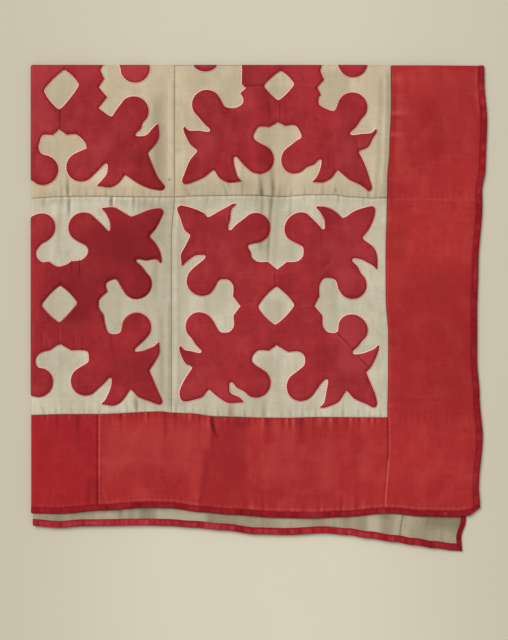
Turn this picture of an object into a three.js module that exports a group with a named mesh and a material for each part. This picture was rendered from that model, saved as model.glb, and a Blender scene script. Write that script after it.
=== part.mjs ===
// Oak leaf quilt, folded in quarters and lying flat, face up.
//
// The quilt is described flat, by how far a spot lies across it (from the lengthwise fold, positive towards
// the side that stays on top), how far along it (from the crosswise fold, negative towards the foot, positive
// towards the head that is turned under) and how high it lies above or below the middle of the cloth.
// place() then carries every spot into the folded stack: first the head half is turned under the foot half,
// then the left half is turned under both layers. Four layers result, from the top:
//   1 foot, right side, face up      2 head, right side, back up
//   3 head, left side, face up       4 foot, left side, back up, its face on the ground
// Millimetres, +Z up, +Y towards the crosswise fold, origin under the middle of the stack.

import * as THREE from "three";

// ---- Driving sizes -------------------------------------------------------------------------------------------

const CLOTH_HALF = 1.5; // from the middle of the quilt to its face, and to its back
const LAYER_PITCH = 4; // from the middle of one layer to the middle of the next
const PIECE_GAP = 0.3; // left between neighbouring pieces

const TOP_RADIUS = LAYER_PITCH / 2; // crosswise fold, at the middle of the cloth
const SIDE_RADIUS = LAYER_PITCH; // lengthwise fold, at the middle of the doubled cloth
const TOP_TURN = TOP_RADIUS + CLOTH_HALF; // the flat part ends this far from the crosswise fold's outer edge
const SIDE_TURN = SIDE_RADIUS + TOP_RADIUS + CLOTH_HALF; // and this far from the lengthwise fold's
const FOLD_STEPS = 6; // facets round each fold

const BINDING_WIDTH = 15; // of each leg of the folded strip
const BINDING_WALL = 0.7;
const CLOTH_INSET = BINDING_WALL + PIECE_GAP; // the cloth ends this far inside the binding's outer edge
const PINCHED_HALF = CLOTH_HALF - BINDING_WALL - PIECE_GAP; // half the cloth's thickness under the binding
const PINCH_INSET = BINDING_WIDTH + PIECE_GAP; // the cloth is thin up to here
const PINCH_RAMP = 1.2; // and swells to its full thickness over this much
const PLUMP_INSET = PINCH_INSET + PINCH_RAMP;
const LEAST_SPACING = 0.1; // grid lines nearer than this to the end of a piece are left out

// Lines across the quilt and along it where pieces meet or end.
const ACROSS = {
  leftEdge: -932,
  leftSeam: -702,
  middleLeftSeam: -182,
  footJoin: 162,
  middleRightSeam: 341,
  rightSeam: 858,
  backingSeam: 893,
  rightEdge: 1080,
};
const ALONG = {
  footEdge: -1075,
  footSeam: -840,
  lowRowSeam: -315,
  highRowSeam: 208,
  headSeam: 728,
  headEdge: 1103,
};

// The upper two layers reach past the lower two, and sink to the ground over this stretch.
const SETTLE = { from: 935, to: 1085, depth: 7.7 };

// The foot hem of the top layer lifts a little off the layer below, more in some places than in others.
const LIFT_FROM = -860;
const HEM_LIFT = [
  { across: 0, by: 0 },
  { across: 110, by: 0.6 },
  { across: 270, by: 3 },
  { across: 430, by: 0.8 },
  { across: 650, by: 2 },
  { across: 790, by: 0.7 },
  { across: 960, by: 2.4 },
  { across: 1080, by: 0.8 },
];

// Hand-cut lines are not straight: how far each one stands off its nominal place.
const RIGHT_EDGE = [
  { along: -1075, by: -2 },
  { along: -1021, by: -5 },
  { along: -890, by: 4.5 },
  { along: -790, by: -3 },
  { along: -700, by: -9 },
  { along: -590, by: -9 },
  { along: -474, by: -6 },
  { along: -330, by: 3.5 },
  { along: -298, by: 3 },
  { along: -244, by: 11.5 },
  { along: -128, by: 15 },
  { along: -40, by: 8.5 },
  { along: 0, by: 8 },
  { along: 1032, by: -35.5 },
  { along: 1072, by: -47 },
  { along: 1103, by: -44.5 },
];
const RIGHT_SEAM = [
  { along: -1075, by: -11 },
  { along: -901, by: -1.5 },
  { along: -830, by: -2.5 },
  { along: -740, by: -1 },
  { along: -640, by: -1 },
  { along: -560, by: -6.5 },
  { along: -470, by: -7 },
  { along: -272, by: -3 },
  { along: -200, by: 2 },
  { along: -90, by: 6 },
  { along: 0, by: 5.5 },
  { along: 1103, by: 12 },
];
const MIDDLE_SEAM = [
  { along: -1075, by: -4 },
  { along: -420, by: -4 },
  { along: -300, by: 4 },
  { along: 0, by: 4 },
  { along: 1103, by: -14 },
];
const FOOT_EDGE = [
  { across: 0, by: 0 },
  { across: 70, by: -1 },
  { across: 170, by: 7 },
  { across: 282, by: 14.5 },
  { across: 330, by: 13 },
  { across: 420, by: 2.5 },
  { across: 484, by: -3 },
  { across: 600, by: -10 },
  { across: 680, by: -12 },
  { across: 760, by: -8.5 },
  { across: 868, by: 0 },
  { across: 950, by: -7 },
  { across: 1030, by: -9 },
  { across: 1052, by: -6 },
  { across: 1083, by: 14 },
];
const FOOT_SEAM = [
  { across: 0, by: 1 },
  { across: 80, by: 3 },
  { across: 160, by: 3 },
  { across: 316, by: 9.5 },
  { across: 345, by: 6.5 },
  { across: 383, by: 5 },
  { across: 450, by: -2.5 },
  { across: 560, by: -5.5 },
  { across: 618, by: -6 },
  { across: 690, by: -4 },
  { across: 858, by: -5 },
];
const LOW_ROW_SEAM = [
  { across: 0, by: -4 },
  { across: 80, by: 0 },
  { across: 150, by: 0.5 },
  { across: 260, by: -1 },
  { across: 335, by: -1.5 },
  { across: 400, by: 1.5 },
  { across: 520, by: 3 },
  { across: 605, by: 0 },
  { across: 670, by: 4 },
  { across: 725, by: 4 },
  { across: 770, by: -1 },
  { across: 820, by: -4 },
  { across: 858, by: -3 },
];
const HEAD_EDGE = [
  { across: -932, by: -30 },
  { across: 0, by: 2 },
  { across: 70, by: 7 },
  { across: 130, by: 3 },
  { across: 290, by: 1 },
  { across: 340, by: 2 },
  { across: 400, by: 6.5 },
  { across: 470, by: 13 },
  { across: 545, by: 22.5 },
  { across: 614, by: 24 },
  { across: 700, by: 19.8 },
  { across: 755, by: 24.5 },
  { across: 800, by: 32 },
  { across: 861, by: 41 },
  { across: 925, by: 48.4 },
  { across: 989, by: 55.8 },
  { across: 1054, by: 62 },
  { across: 1080, by: 64 },
];

// ---- The shape of the cloth ----------------------------------------------------------------------------------

// Reads a table of rows, each a key and a value, with an even ease from row to row.
function eased(table, key, at) {
  const next = table.findIndex((row) => row[key] > at);
  if (next === 0) return table[0].by;
  if (next < 0) return table[table.length - 1].by;
  const [a, b] = [table[next - 1], table[next]];
  return a.by + (b.by - a.by) * THREE.MathUtils.smoothstep(at, a[key], b[key]);
}

// Spreads the offsets of a few lines evenly over the cloth between them; the first line stays put.
function between(lines, at) {
  const next = lines.findIndex((line) => line.at > at);
  if (next === 0) return lines[0].by;
  if (next < 0) return lines[lines.length - 1].by;
  const [a, b] = [lines[next - 1], lines[next]];
  return a.by + ((b.by - a.by) * (at - a.at)) / (b.at - a.at);
}

function strayAcross(across, along) {
  return between(
    [
      { at: 0, by: 0 },
      { at: ACROSS.middleRightSeam, by: eased(MIDDLE_SEAM, "along", along) },
      { at: ACROSS.rightSeam, by: eased(RIGHT_SEAM, "along", along) },
      { at: ACROSS.rightEdge, by: eased(RIGHT_EDGE, "along", along) },
    ],
    across,
  );
}

function strayAlong(across, along) {
  return between(
    [
      { at: ALONG.footEdge, by: eased(FOOT_EDGE, "across", across) },
      { at: ALONG.footSeam, by: eased(FOOT_SEAM, "across", across) },
      { at: ALONG.lowRowSeam, by: eased(LOW_ROW_SEAM, "across", across) },
      { at: 0, by: 0 },
      { at: ALONG.headEdge, by: eased(HEAD_EDGE, "across", across) },
    ],
    along,
  );
}

// Carries a spot of the flat quilt into the folded stack.
function place(across, along, height) {
  const u = across + strayAcross(across, along);
  const v = along + strayAlong(across, along);

  const over = Math.PI * THREE.MathUtils.clamp((v + TOP_TURN) / (2 * TOP_TURN), 0, 1);
  const topRadius = TOP_RADIUS + height;
  const y = -Math.max(Math.abs(v), TOP_TURN) + topRadius * Math.sin(over);
  const rise = topRadius * Math.cos(over);

  const under = Math.PI * THREE.MathUtils.clamp((SIDE_TURN - u) / (2 * SIDE_TURN), 0, 1);
  const sideRadius = SIDE_RADIUS + rise;
  const x = Math.max(Math.abs(u), SIDE_TURN) - sideRadius * Math.sin(under);
  const z = sideRadius * Math.cos(under);

  const onTop = u > SIDE_TURN;
  const sink = onTop ? SETTLE.depth * THREE.MathUtils.smoothstep(x, SETTLE.from, SETTLE.to) : 0;
  const hem = onTop && v < 0 ? THREE.MathUtils.smoothstep(-along, -LIFT_FROM, -ALONG.footEdge) : 0;
  return new THREE.Vector3(x, y, z - sink + hem * eased(HEM_LIFT, "across", across));
}

// Half the thickness of the cloth: full inside, pinched thin under the binding.
function clothHalf(across, along) {
  const inset = Math.min(
    across - ACROSS.leftEdge,
    ACROSS.rightEdge - across,
    along - ALONG.footEdge,
    ALONG.headEdge - along,
  );
  return THREE.MathUtils.mapLinear(
    THREE.MathUtils.clamp(inset, PINCH_INSET, PLUMP_INSET),
    PINCH_INSET,
    PLUMP_INSET,
    PINCHED_HALF,
    CLOTH_HALF,
  );
}

// ---- Lines that every piece shares, so that pieces that lie together stay parallel ----------------------------

// Lines from one value to another, both included, in even steps.
function evenLines(from, to, steps) {
  return Array.from({ length: steps + 1 }, (_, i) => from + ((to - from) * i) / steps);
}

// The lines along one way of the quilt: round its fold, between its seams, and close to its two edges.
function gridLines(turn, spans, low, high) {
  const lines = evenLines(-turn, turn, FOLD_STEPS);
  for (const span of spans) lines.push(...evenLines(span.from, span.to, span.steps));
  for (const inset of [CLOTH_INSET, PINCH_INSET, PLUMP_INSET]) lines.push(low + inset, high - inset);
  return [...new Set(lines)].sort((a, b) => a - b);
}

const COLUMN_LINES = gridLines(
  SIDE_TURN,
  [
    { from: ACROSS.leftEdge + PLUMP_INSET, to: ACROSS.leftSeam, steps: 2 },
    { from: ACROSS.leftSeam, to: ACROSS.middleLeftSeam, steps: 3 },
    { from: ACROSS.middleLeftSeam, to: -SIDE_TURN, steps: 1 },
    { from: SIDE_TURN, to: ACROSS.footJoin, steps: 2 },
    { from: ACROSS.footJoin, to: ACROSS.middleRightSeam, steps: 2 },
    { from: ACROSS.middleRightSeam, to: ACROSS.rightSeam, steps: 4 },
    { from: ACROSS.rightSeam, to: ACROSS.backingSeam, steps: 1 },
    { from: ACROSS.backingSeam, to: SETTLE.from, steps: 1 },
    { from: SETTLE.from, to: ACROSS.rightEdge - PLUMP_INSET, steps: 3 },
  ],
  ACROSS.leftEdge,
  ACROSS.rightEdge,
);
const ROW_LINES = gridLines(
  TOP_TURN,
  [
    { from: ALONG.footEdge + PLUMP_INSET, to: ALONG.footSeam, steps: 2 },
    { from: ALONG.footSeam, to: ALONG.lowRowSeam, steps: 4 },
    { from: ALONG.lowRowSeam, to: -TOP_TURN, steps: 2 },
    { from: TOP_TURN, to: ALONG.highRowSeam, steps: 1 },
    { from: ALONG.highRowSeam, to: ALONG.headSeam, steps: 3 },
    { from: ALONG.headSeam, to: ALONG.headEdge - PLUMP_INSET, steps: 2 },
  ],
  ALONG.footEdge,
  ALONG.headEdge,
);

// The shared lines that lie well inside a stretch.
function linesInside(lines, start, stop) {
  return lines.all.filter((line) => line > start + LEAST_SPACING && line < stop - LEAST_SPACING);
}

// The shared lines of a piece that runs from one line to another, drawn in by half a gap at a seam and by the
// binding's inset at an edge of the quilt.
function pieceLines(lines, from, to) {
  const inset = (end) => (end === lines.low || end === lines.high ? CLOTH_INSET : PIECE_GAP / 2);
  const [start, stop] = [from + inset(from), to - inset(to)];
  return [start, ...linesInside(lines, start, stop), stop];
}

const COLUMNS = { all: COLUMN_LINES, low: ACROSS.leftEdge, high: ACROSS.rightEdge };
const ROWS = { all: ROW_LINES, low: ALONG.footEdge, high: ALONG.headEdge };

// ---- Bodies ----------------------------------------------------------------------------------------------------

function bodyGeometry(points, quads) {
  const geometry = new THREE.BufferGeometry().setFromPoints(points);
  geometry.setIndex(quads.flatMap(([a, b, c, d]) => [a, b, c, a, c, d]));
  geometry.computeVertexNormals();
  return geometry;
}

// A piece of cloth between two heights, over the grid of its column and row lines.
function clothGeometry(columns, rows, lowHeight, highHeight) {
  const points = [];
  for (const height of [lowHeight, highHeight])
    for (const along of rows)
      for (const across of columns) points.push(place(across, along, height(across, along)));

  const [lastI, lastJ] = [columns.length - 1, rows.length - 1];
  const low = (i, j) => j * columns.length + i;
  const high = (i, j) => rows.length * columns.length + low(i, j);
  const quads = [];
  for (let j = 0; j < lastJ; j++)
    for (let i = 0; i < lastI; i++) {
      quads.push([high(i, j), high(i + 1, j), high(i + 1, j + 1), high(i, j + 1)]);
      quads.push([low(i + 1, j + 1), low(i + 1, j), low(i, j), low(i, j + 1)]);
    }
  for (let i = 0; i < lastI; i++) {
    quads.push([low(i, 0), low(i + 1, 0), high(i + 1, 0), high(i, 0)]);
    quads.push([low(i + 1, lastJ), low(i, lastJ), high(i, lastJ), high(i + 1, lastJ)]);
  }
  for (let j = 0; j < lastJ; j++) {
    quads.push([low(0, j + 1), low(0, j), high(0, j), high(0, j + 1)]);
    quads.push([low(lastI, j), low(lastI, j + 1), high(lastI, j + 1), high(lastI, j)]);
  }
  return bodyGeometry(points, quads);
}

// The folded section of the binding: inset from the outer edge, and height. It wraps the cloth's edge.
const BINDING_SECTION = [
  { inset: 0, height: CLOTH_HALF },
  { inset: BINDING_WIDTH, height: CLOTH_HALF },
  { inset: BINDING_WIDTH, height: CLOTH_HALF - BINDING_WALL },
  { inset: BINDING_WALL, height: CLOTH_HALF - BINDING_WALL },
  { inset: BINDING_WALL, height: BINDING_WALL - CLOTH_HALF },
  { inset: BINDING_WIDTH, height: BINDING_WALL - CLOTH_HALF },
  { inset: BINDING_WIDTH, height: -CLOTH_HALF },
  { inset: 0, height: -CLOTH_HALF },
];

// The four strips run clockwise round the flat quilt, each from one corner to the next.
const BINDING_STRIPS = [
  {
    name: "binding_left",
    lines: ROWS,
    from: ALONG.footEdge,
    to: ALONG.headEdge,
    spot: (inset, run) => [ACROSS.leftEdge + inset, run],
  },
  {
    name: "binding_head",
    lines: COLUMNS,
    from: ACROSS.leftEdge,
    to: ACROSS.rightEdge,
    spot: (inset, run) => [run, ALONG.headEdge - inset],
  },
  {
    name: "binding_right",
    lines: ROWS,
    from: ALONG.headEdge,
    to: ALONG.footEdge,
    spot: (inset, run) => [ACROSS.rightEdge - inset, run],
  },
  {
    name: "binding_foot",
    lines: COLUMNS,
    from: ACROSS.rightEdge,
    to: ACROSS.leftEdge,
    spot: (inset, run) => [run, ALONG.footEdge + inset],
  },
];

// The cloth's quads are split from their low corner to their high one. A strip's quads are split the same way,
// so that strip and cloth stay parallel where the quilt twists.
function leansWithCloth([acrossA, alongA], [acrossB, alongB]) {
  return (acrossB - acrossA) * (alongB - alongA) >= 0;
}

// A strip of binding with both ends mitred at the quilt's corners.
function bindingGeometry({ lines, from, to, spot }) {
  const way = Math.sign(to - from);
  const mitre = PIECE_GAP / Math.SQRT2;
  const inner = linesInside(lines, lines.low + PINCH_INSET, lines.high - PINCH_INSET);
  inner.sort((a, b) => way * (a - b));
  const stations = [
    (inset) => from + way * (inset + mitre),
    ...inner.map((line) => () => line),
    (inset) => to - way * (inset + mitre),
  ];
  const spots = stations.flatMap((run) =>
    BINDING_SECTION.map(({ inset, height }) => [...spot(inset, run(inset)), height]),
  );

  const around = BINDING_SECTION.length;
  const at = (station, k) => station * around + (k % around);
  const quads = [];
  for (let s = 0; s < stations.length - 1; s++)
    for (let k = 0; k < around; k++) {
      const [a, b, c, d] = [at(s, k), at(s, k + 1), at(s + 1, k + 1), at(s + 1, k)];
      quads.push(leansWithCloth(spots[a], spots[c]) ? [a, b, c, d] : [b, c, d, a]);
    }
  // The end of the U is three quads: its upper leg, its back and its lower leg.
  for (const [a, b, c, d] of [
    [0, 1, 2, 3],
    [0, 3, 4, 7],
    [4, 5, 6, 7],
  ]) {
    quads.push([at(0, d), at(0, c), at(0, b), at(0, a)]);
    const end = stations.length - 1;
    quads.push([at(end, a), at(end, b), at(end, c), at(end, d)]);
  }
  return bodyGeometry(spots.map((flat) => place(...flat)), quads);
}

// ---- The pieces --------------------------------------------------------------------------------------------------

const FINISHES = {
  ground: new THREE.MeshStandardMaterial({ color: "#cfc7ae", roughness: 0.9, metalness: 0 }),
  border: new THREE.MeshStandardMaterial({ color: "#a83433", roughness: 0.85, metalness: 0 }),
  binding: new THREE.MeshStandardMaterial({ color: "#8f2029", roughness: 0.8, metalness: 0 }),
  backing: new THREE.MeshStandardMaterial({ color: "#b9ad92", roughness: 0.92, metalness: 0 }),
};

const BLOCK_COLUMNS = [
  { side: "left", from: ACROSS.leftSeam, to: ACROSS.middleLeftSeam },
  { side: "middle", from: ACROSS.middleLeftSeam, to: ACROSS.middleRightSeam },
  { side: "right", from: ACROSS.middleRightSeam, to: ACROSS.rightSeam },
];
const BLOCK_ROWS = [
  { end: "foot", from: ALONG.footSeam, to: ALONG.lowRowSeam },
  { end: "middle", from: ALONG.lowRowSeam, to: ALONG.highRowSeam },
  { end: "head", from: ALONG.highRowSeam, to: ALONG.headSeam },
];

const WHOLE_LENGTH = [ALONG.footEdge, ALONG.headEdge];
const FACE_PIECES = [
  ...BLOCK_ROWS.flatMap((row) =>
    BLOCK_COLUMNS.map((column) => ({
      name: `block_${row.end}_${column.side}`,
      finish: FINISHES.ground,
      across: [column.from, column.to],
      along: [row.from, row.to],
    })),
  ),
  {
    name: "border_right",
    finish: FINISHES.border,
    across: [ACROSS.rightSeam, ACROSS.rightEdge],
    along: WHOLE_LENGTH,
  },
  {
    name: "border_left",
    finish: FINISHES.border,
    across: [ACROSS.leftEdge, ACROSS.leftSeam],
    along: WHOLE_LENGTH,
  },
  {
    name: "border_foot_long",
    finish: FINISHES.border,
    across: [ACROSS.footJoin, ACROSS.rightSeam],
    along: [ALONG.footEdge, ALONG.footSeam],
  },
  {
    name: "border_foot_turned",
    finish: FINISHES.border,
    across: [ACROSS.leftSeam, ACROSS.footJoin],
    along: [ALONG.footEdge, ALONG.footSeam],
  },
  {
    name: "border_head",
    finish: FINISHES.border,
    across: [ACROSS.leftSeam, ACROSS.rightSeam],
    along: [ALONG.headSeam, ALONG.headEdge],
  },
];
const BACKING_PIECES = [
  { name: "backing_wide", across: [ACROSS.leftEdge, ACROSS.backingSeam] },
  { name: "backing_narrow", across: [ACROSS.backingSeam, ACROSS.rightEdge] },
];

function piece(name, geometry, finish) {
  const mesh = new THREE.Mesh(geometry, finish);
  mesh.name = name;
  return mesh;
}

const quilt = new THREE.Group();

for (const { name, finish, across, along } of FACE_PIECES)
  quilt.add(
    piece(
      name,
      clothGeometry(
        pieceLines(COLUMNS, ...across),
        pieceLines(ROWS, ...along),
        () => PIECE_GAP / 2,
        clothHalf,
      ),
      finish,
    ),
  );

for (const { name, across } of BACKING_PIECES)
  quilt.add(
    piece(
      name,
      clothGeometry(
        pieceLines(COLUMNS, ...across),
        pieceLines(ROWS, ...WHOLE_LENGTH),
        (u, v) => -clothHalf(u, v),
        () => -PIECE_GAP / 2,
      ),
      FINISHES.backing,
    ),
  );

for (const strip of BINDING_STRIPS)
  quilt.add(piece(strip.name, bindingGeometry(strip), FINISHES.binding));

// The origin lies on the ground under the middle of the stack.
const extent = new THREE.Box3().setFromObject(quilt);
const centre = extent.getCenter(new THREE.Vector3());
quilt.position.set(-centre.x, -centre.y, -extent.min.z);

export default quilt;
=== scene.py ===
"""Oak leaf quilt, folded in quarters and lying face up: its cloth, applique and stitching.

The quilt is described flat, in millimetres: how far a spot lies across it from the lengthwise fold, how far
along it from the crosswise fold, and how high it lies above the middle of the cloth. FoldMap carries each
spot into the folded stack, in metres, just as the CAD part does.
"""

import logging
import math
from dataclasses import dataclass, field
from enum import Enum

import bmesh
import bpy
import numpy as np
from mathutils import Matrix, Vector


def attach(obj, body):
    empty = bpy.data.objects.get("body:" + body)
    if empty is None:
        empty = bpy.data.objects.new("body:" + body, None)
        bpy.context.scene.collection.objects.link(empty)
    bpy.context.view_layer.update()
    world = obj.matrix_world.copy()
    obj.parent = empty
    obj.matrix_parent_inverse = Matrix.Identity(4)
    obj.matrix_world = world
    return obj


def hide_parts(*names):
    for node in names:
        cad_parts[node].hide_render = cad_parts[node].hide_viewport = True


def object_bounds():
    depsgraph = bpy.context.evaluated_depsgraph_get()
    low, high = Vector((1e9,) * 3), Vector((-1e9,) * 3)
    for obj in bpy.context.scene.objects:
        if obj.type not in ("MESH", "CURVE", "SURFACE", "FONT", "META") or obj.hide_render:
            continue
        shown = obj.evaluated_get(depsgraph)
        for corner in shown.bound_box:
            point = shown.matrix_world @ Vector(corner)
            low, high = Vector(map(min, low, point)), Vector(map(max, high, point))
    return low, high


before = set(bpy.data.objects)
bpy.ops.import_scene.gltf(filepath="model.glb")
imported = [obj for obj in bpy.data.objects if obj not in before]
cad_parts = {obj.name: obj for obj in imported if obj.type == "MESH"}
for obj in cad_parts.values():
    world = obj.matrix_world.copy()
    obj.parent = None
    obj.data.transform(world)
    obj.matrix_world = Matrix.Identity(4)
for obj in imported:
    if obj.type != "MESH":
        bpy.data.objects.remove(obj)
CAD_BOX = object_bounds()

MM = 0.001
LOG = logging.getLogger("oak_leaf_quilt")
Table = tuple[tuple[float, float], ...]


# ---- The flat quilt and its fold -----------------------------------------------------------------


class Across:
    """Lines across the quilt where pieces meet or end."""

    LEFT_EDGE = -932.0
    LEFT_SEAM = -702.0
    MIDDLE_LEFT_SEAM = -182.0
    FOLD = 0.0
    FOOT_JOIN = 162.0
    MIDDLE_RIGHT_SEAM = 341.0
    RIGHT_SEAM = 858.0
    BACKING_SEAM = 893.0
    RIGHT_EDGE = 1080.0


class Along:
    """Lines along the quilt where pieces meet or end."""

    FOOT_EDGE = -1075.0
    FOOT_SEAM = -840.0
    LOW_ROW_SEAM = -315.0
    FOLD = 0.0
    HIGH_ROW_SEAM = 208.0
    HEAD_SEAM = 728.0
    HEAD_EDGE = 1103.0


BINDING_WIDTH = 15.0


def eased(rows: Table, at: np.ndarray) -> np.ndarray:
    """Reads a table of (place, value) rows with an even ease from row to row.

    Args:
        rows: the table, in rising order of place.
        at: the places to read it at.

    Returns:
        The value at each place.
    """
    places, values = np.array(rows, float).T
    i = np.clip(np.searchsorted(places, at, side="right") - 1, 0, len(places) - 2)
    share = np.clip((at - places[i]) / (places[i + 1] - places[i]), 0, 1)
    return values[i] + (values[i + 1] - values[i]) * share**2 * (3 - 2 * share)


def smooth(at: np.ndarray, low: float, high: float) -> np.ndarray:
    """Rises smoothly from 0 at low to 1 at high."""
    share = np.clip((at - low) / (high - low), 0, 1)
    return share**2 * (3 - 2 * share)


def spread(lines: list[tuple[float, np.ndarray]], at: np.ndarray) -> np.ndarray:
    """Spreads the offsets of a few lines evenly over the cloth between them.

    Args:
        lines: each line's place, and its offset for every spot.
        at: the place of every spot.

    Returns:
        The offset of every spot.
    """
    total = lines[0][1] + 0 * at
    for (a, by_a), (b, by_b) in zip(lines, lines[1:]):
        total = total + (by_b - by_a) * np.clip((at - a) / (b - a), 0, 1)
    return total


@dataclass(frozen=True)
class FoldMap:
    """Carries spots of the flat quilt into the folded stack."""

    cloth_half: float = 1.5
    layer_pitch: float = 4.0
    settle_from: float = 935.0
    settle_to: float = 1085.0
    settle_depth: float = 7.7
    lift_from: float = -860.0
    hem_lift: Table = (
        (0, 0), (110, 0.6), (270, 3), (430, 0.8), (650, 2), (790, 0.7), (960, 2.4), (1080, 0.8),
    )  # fmt: skip
    right_edge: Table = (
        (-1075, -2), (-1021, -5), (-890, 4.5), (-790, -3), (-700, -9), (-590, -9), (-474, -6),
        (-330, 3.5), (-298, 3), (-244, 11.5), (-128, 15), (-40, 8.5), (0, 8), (1032, -35.5), (1072, -47),
        (1103, -44.5),
    )  # fmt: skip
    right_seam: Table = (
        (-1075, -11), (-901, -1.5), (-830, -2.5), (-740, -1), (-640, -1), (-560, -6.5), (-470, -7),
        (-272, -3), (-200, 2), (-90, 6), (0, 5.5), (1103, 12),
    )  # fmt: skip
    middle_seam: Table = ((-1075, -4), (-420, -4), (-300, 4), (0, 4), (1103, -14))
    foot_edge: Table = (
        (0, 0), (70, -1), (170, 7), (282, 14.5), (330, 13), (420, 2.5), (484, -3), (600, -10),
        (680, -12), (760, -8.5), (868, 0), (950, -7), (1030, -9), (1052, -6), (1083, 14),
    )  # fmt: skip
    foot_seam: Table = (
        (0, 1), (80, 3), (160, 3), (316, 9.5), (345, 6.5), (383, 5), (450, -2.5), (560, -5.5), (618, -6),
        (690, -4), (858, -5),
    )  # fmt: skip
    low_row_seam: Table = (
        (0, -4), (80, 0), (150, 0.5), (260, -1), (335, -1.5), (400, 1.5), (520, 3), (605, 0), (670, 4),
        (725, 4), (770, -1), (820, -4), (858, -3),
    )  # fmt: skip
    head_edge: Table = (
        (-932, -30), (0, 2), (70, 7), (130, 3), (290, 1), (340, 2), (400, 6.5), (470, 13), (545, 22.5),
        (614, 24), (700, 19.8), (755, 24.5), (800, 32), (861, 41), (925, 48.4), (989, 55.8), (1054, 62),
        (1080, 64),
    )  # fmt: skip

    @property
    def top_radius(self) -> float:
        """Radius of the crosswise fold at the middle of the cloth."""
        return self.layer_pitch / 2

    @property
    def top_turn(self) -> float:
        """How far from the crosswise fold the flat part ends."""
        return self.top_radius + self.cloth_half

    @property
    def side_radius(self) -> float:
        """Radius of the lengthwise fold at the middle of the doubled cloth."""
        return self.layer_pitch

    @property
    def side_turn(self) -> float:
        """How far from the lengthwise fold the flat part ends."""
        return self.side_radius + self.top_radius + self.cloth_half

    def stray_across(self, across: np.ndarray, along: np.ndarray) -> np.ndarray:
        """How far a spot stands off its nominal place across the quilt.

        Args:
            across: how far across the quilt each spot is.
            along: how far along it each spot is.

        Returns:
            Millimetres for each spot.
        """
        return spread(
            [
                (Across.FOLD, np.zeros_like(across)),
                (Across.MIDDLE_RIGHT_SEAM, eased(self.middle_seam, along)),
                (Across.RIGHT_SEAM, eased(self.right_seam, along)),
                (Across.RIGHT_EDGE, eased(self.right_edge, along)),
            ],
            across,
        )

    def stray_along(self, across: np.ndarray, along: np.ndarray) -> np.ndarray:
        """How far a spot stands off its nominal place along the quilt.

        Args:
            across: how far across the quilt each spot is.
            along: how far along it each spot is.

        Returns:
            Millimetres for each spot.
        """
        nothing = np.zeros_like(across)
        return spread(
            [
                (Along.FOOT_EDGE, eased(self.foot_edge, across)),
                (Along.FOOT_SEAM, eased(self.foot_seam, across)),
                (Along.LOW_ROW_SEAM, eased(self.low_row_seam, across)),
                (Along.FOLD, nothing),
                (Along.HEAD_EDGE, eased(self.head_edge, across)),
            ],
            along,
        )

    def place(self, flat: np.ndarray) -> np.ndarray:
        """Carries flat spots into the folded stack.

        Args:
            flat: one row (across, along, height) for each spot, in millimetres.

        Returns:
            One row (x, y, z) for each spot, in metres, in the row frame.
        """
        across, along, height = flat.T
        u = across + self.stray_across(across, along)
        v = along + self.stray_along(across, along)

        over = math.pi * np.clip((v + self.top_turn) / (2 * self.top_turn), 0, 1)
        top_radius = self.top_radius + height
        y = -np.maximum(np.abs(v), self.top_turn) + top_radius * np.sin(over)
        rise = top_radius * np.cos(over)

        under = math.pi * np.clip((self.side_turn - u) / (2 * self.side_turn), 0, 1)
        side_radius = self.side_radius + rise
        x = np.maximum(np.abs(u), self.side_turn) - side_radius * np.sin(under)
        z = side_radius * np.cos(under)

        on_top = u > self.side_turn
        z = z - on_top * self.settle_depth * smooth(x, self.settle_from, self.settle_to)
        hem = smooth(-along, -self.lift_from, -Along.FOOT_EDGE) * (v < 0) * on_top
        z = z + hem * eased(self.hem_lift, across)

        low, high = CAD_BOX
        ground = 2 * self.layer_pitch - self.layer_pitch / 2 + self.cloth_half
        home = np.array([low.x, high.y, low.z + ground * MM])
        return home + MM * np.stack([x, y, z], axis=1)


# ---- The surface of the top layer ----------------------------------------------------------------


@dataclass(frozen=True)
class Pucker:
    """A little gather that runs away from a seam: a ridge if push is above 0, else a trough."""

    at: float
    push: float
    width: float = 3.2
    reach: float = 18.0
    lean: float = 0.0


def puckers(*rows: tuple[float, ...]) -> tuple[Pucker, ...]:
    """Makes a row of gathers from short rows of their sizes."""
    return tuple(Pucker(*row) for row in rows)


def fold_section(off: np.ndarray) -> np.ndarray:
    """The section of a crease: 1 at its middle, a little below 0 on both sides of it, and 0 far off."""
    return np.exp(-(off**2)) - 0.3 * np.exp(-((off / 2.4) ** 2))


@dataclass(frozen=True)
class SeamSide:
    """The cloth on one side of a seam: its gathers, the fine ones between, and the allowance below."""

    line: float
    way: int
    puckers: tuple[Pucker, ...] = ()
    span: tuple[float, float] = (-1200.0, 1200.0)
    lengthwise: bool = False
    fine: float = 0.18
    pitch: float = 13.7
    allowance: float = 0.0
    allowance_width: float = 12.0
    touched: float = 110.0

    def height(self, across: np.ndarray, along: np.ndarray) -> np.ndarray:
        """How far the seam lifts each spot, in millimetres.

        Args:
            across: how far across the quilt each spot is.
            along: how far along it each spot is.

        Returns:
            Millimetres for each spot.
        """
        run, beside = (along, across) if self.lengthwise else (across, along)
        away = self.way * (beside - self.line)
        beyond = (run < self.span[0]) | (run > self.span[1])
        near = np.flatnonzero((away > -0.5) & (away < self.touched) & ~beyond)
        run, away = run[near], np.abs(away[near])
        wave = np.sin(2 * math.pi * run / self.pitch + 2.1 * np.sin(run / 41))
        part = self.fine * wave * np.exp(-away / 8)
        for p in self.puckers:
            fade = np.exp(-((away / p.reach) ** 1.5))
            part += p.push * fold_section((run - p.at - p.lean * away) / p.width) * fade
        far_side = smooth(-away, -self.allowance_width - 3, -self.allowance_width + 1)
        part += self.allowance * far_side * smooth(away, 0.5, 3.5)
        total = np.zeros_like(across)
        total[near] = part * (1 - np.exp(-away / 1.5))
        return total


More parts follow.
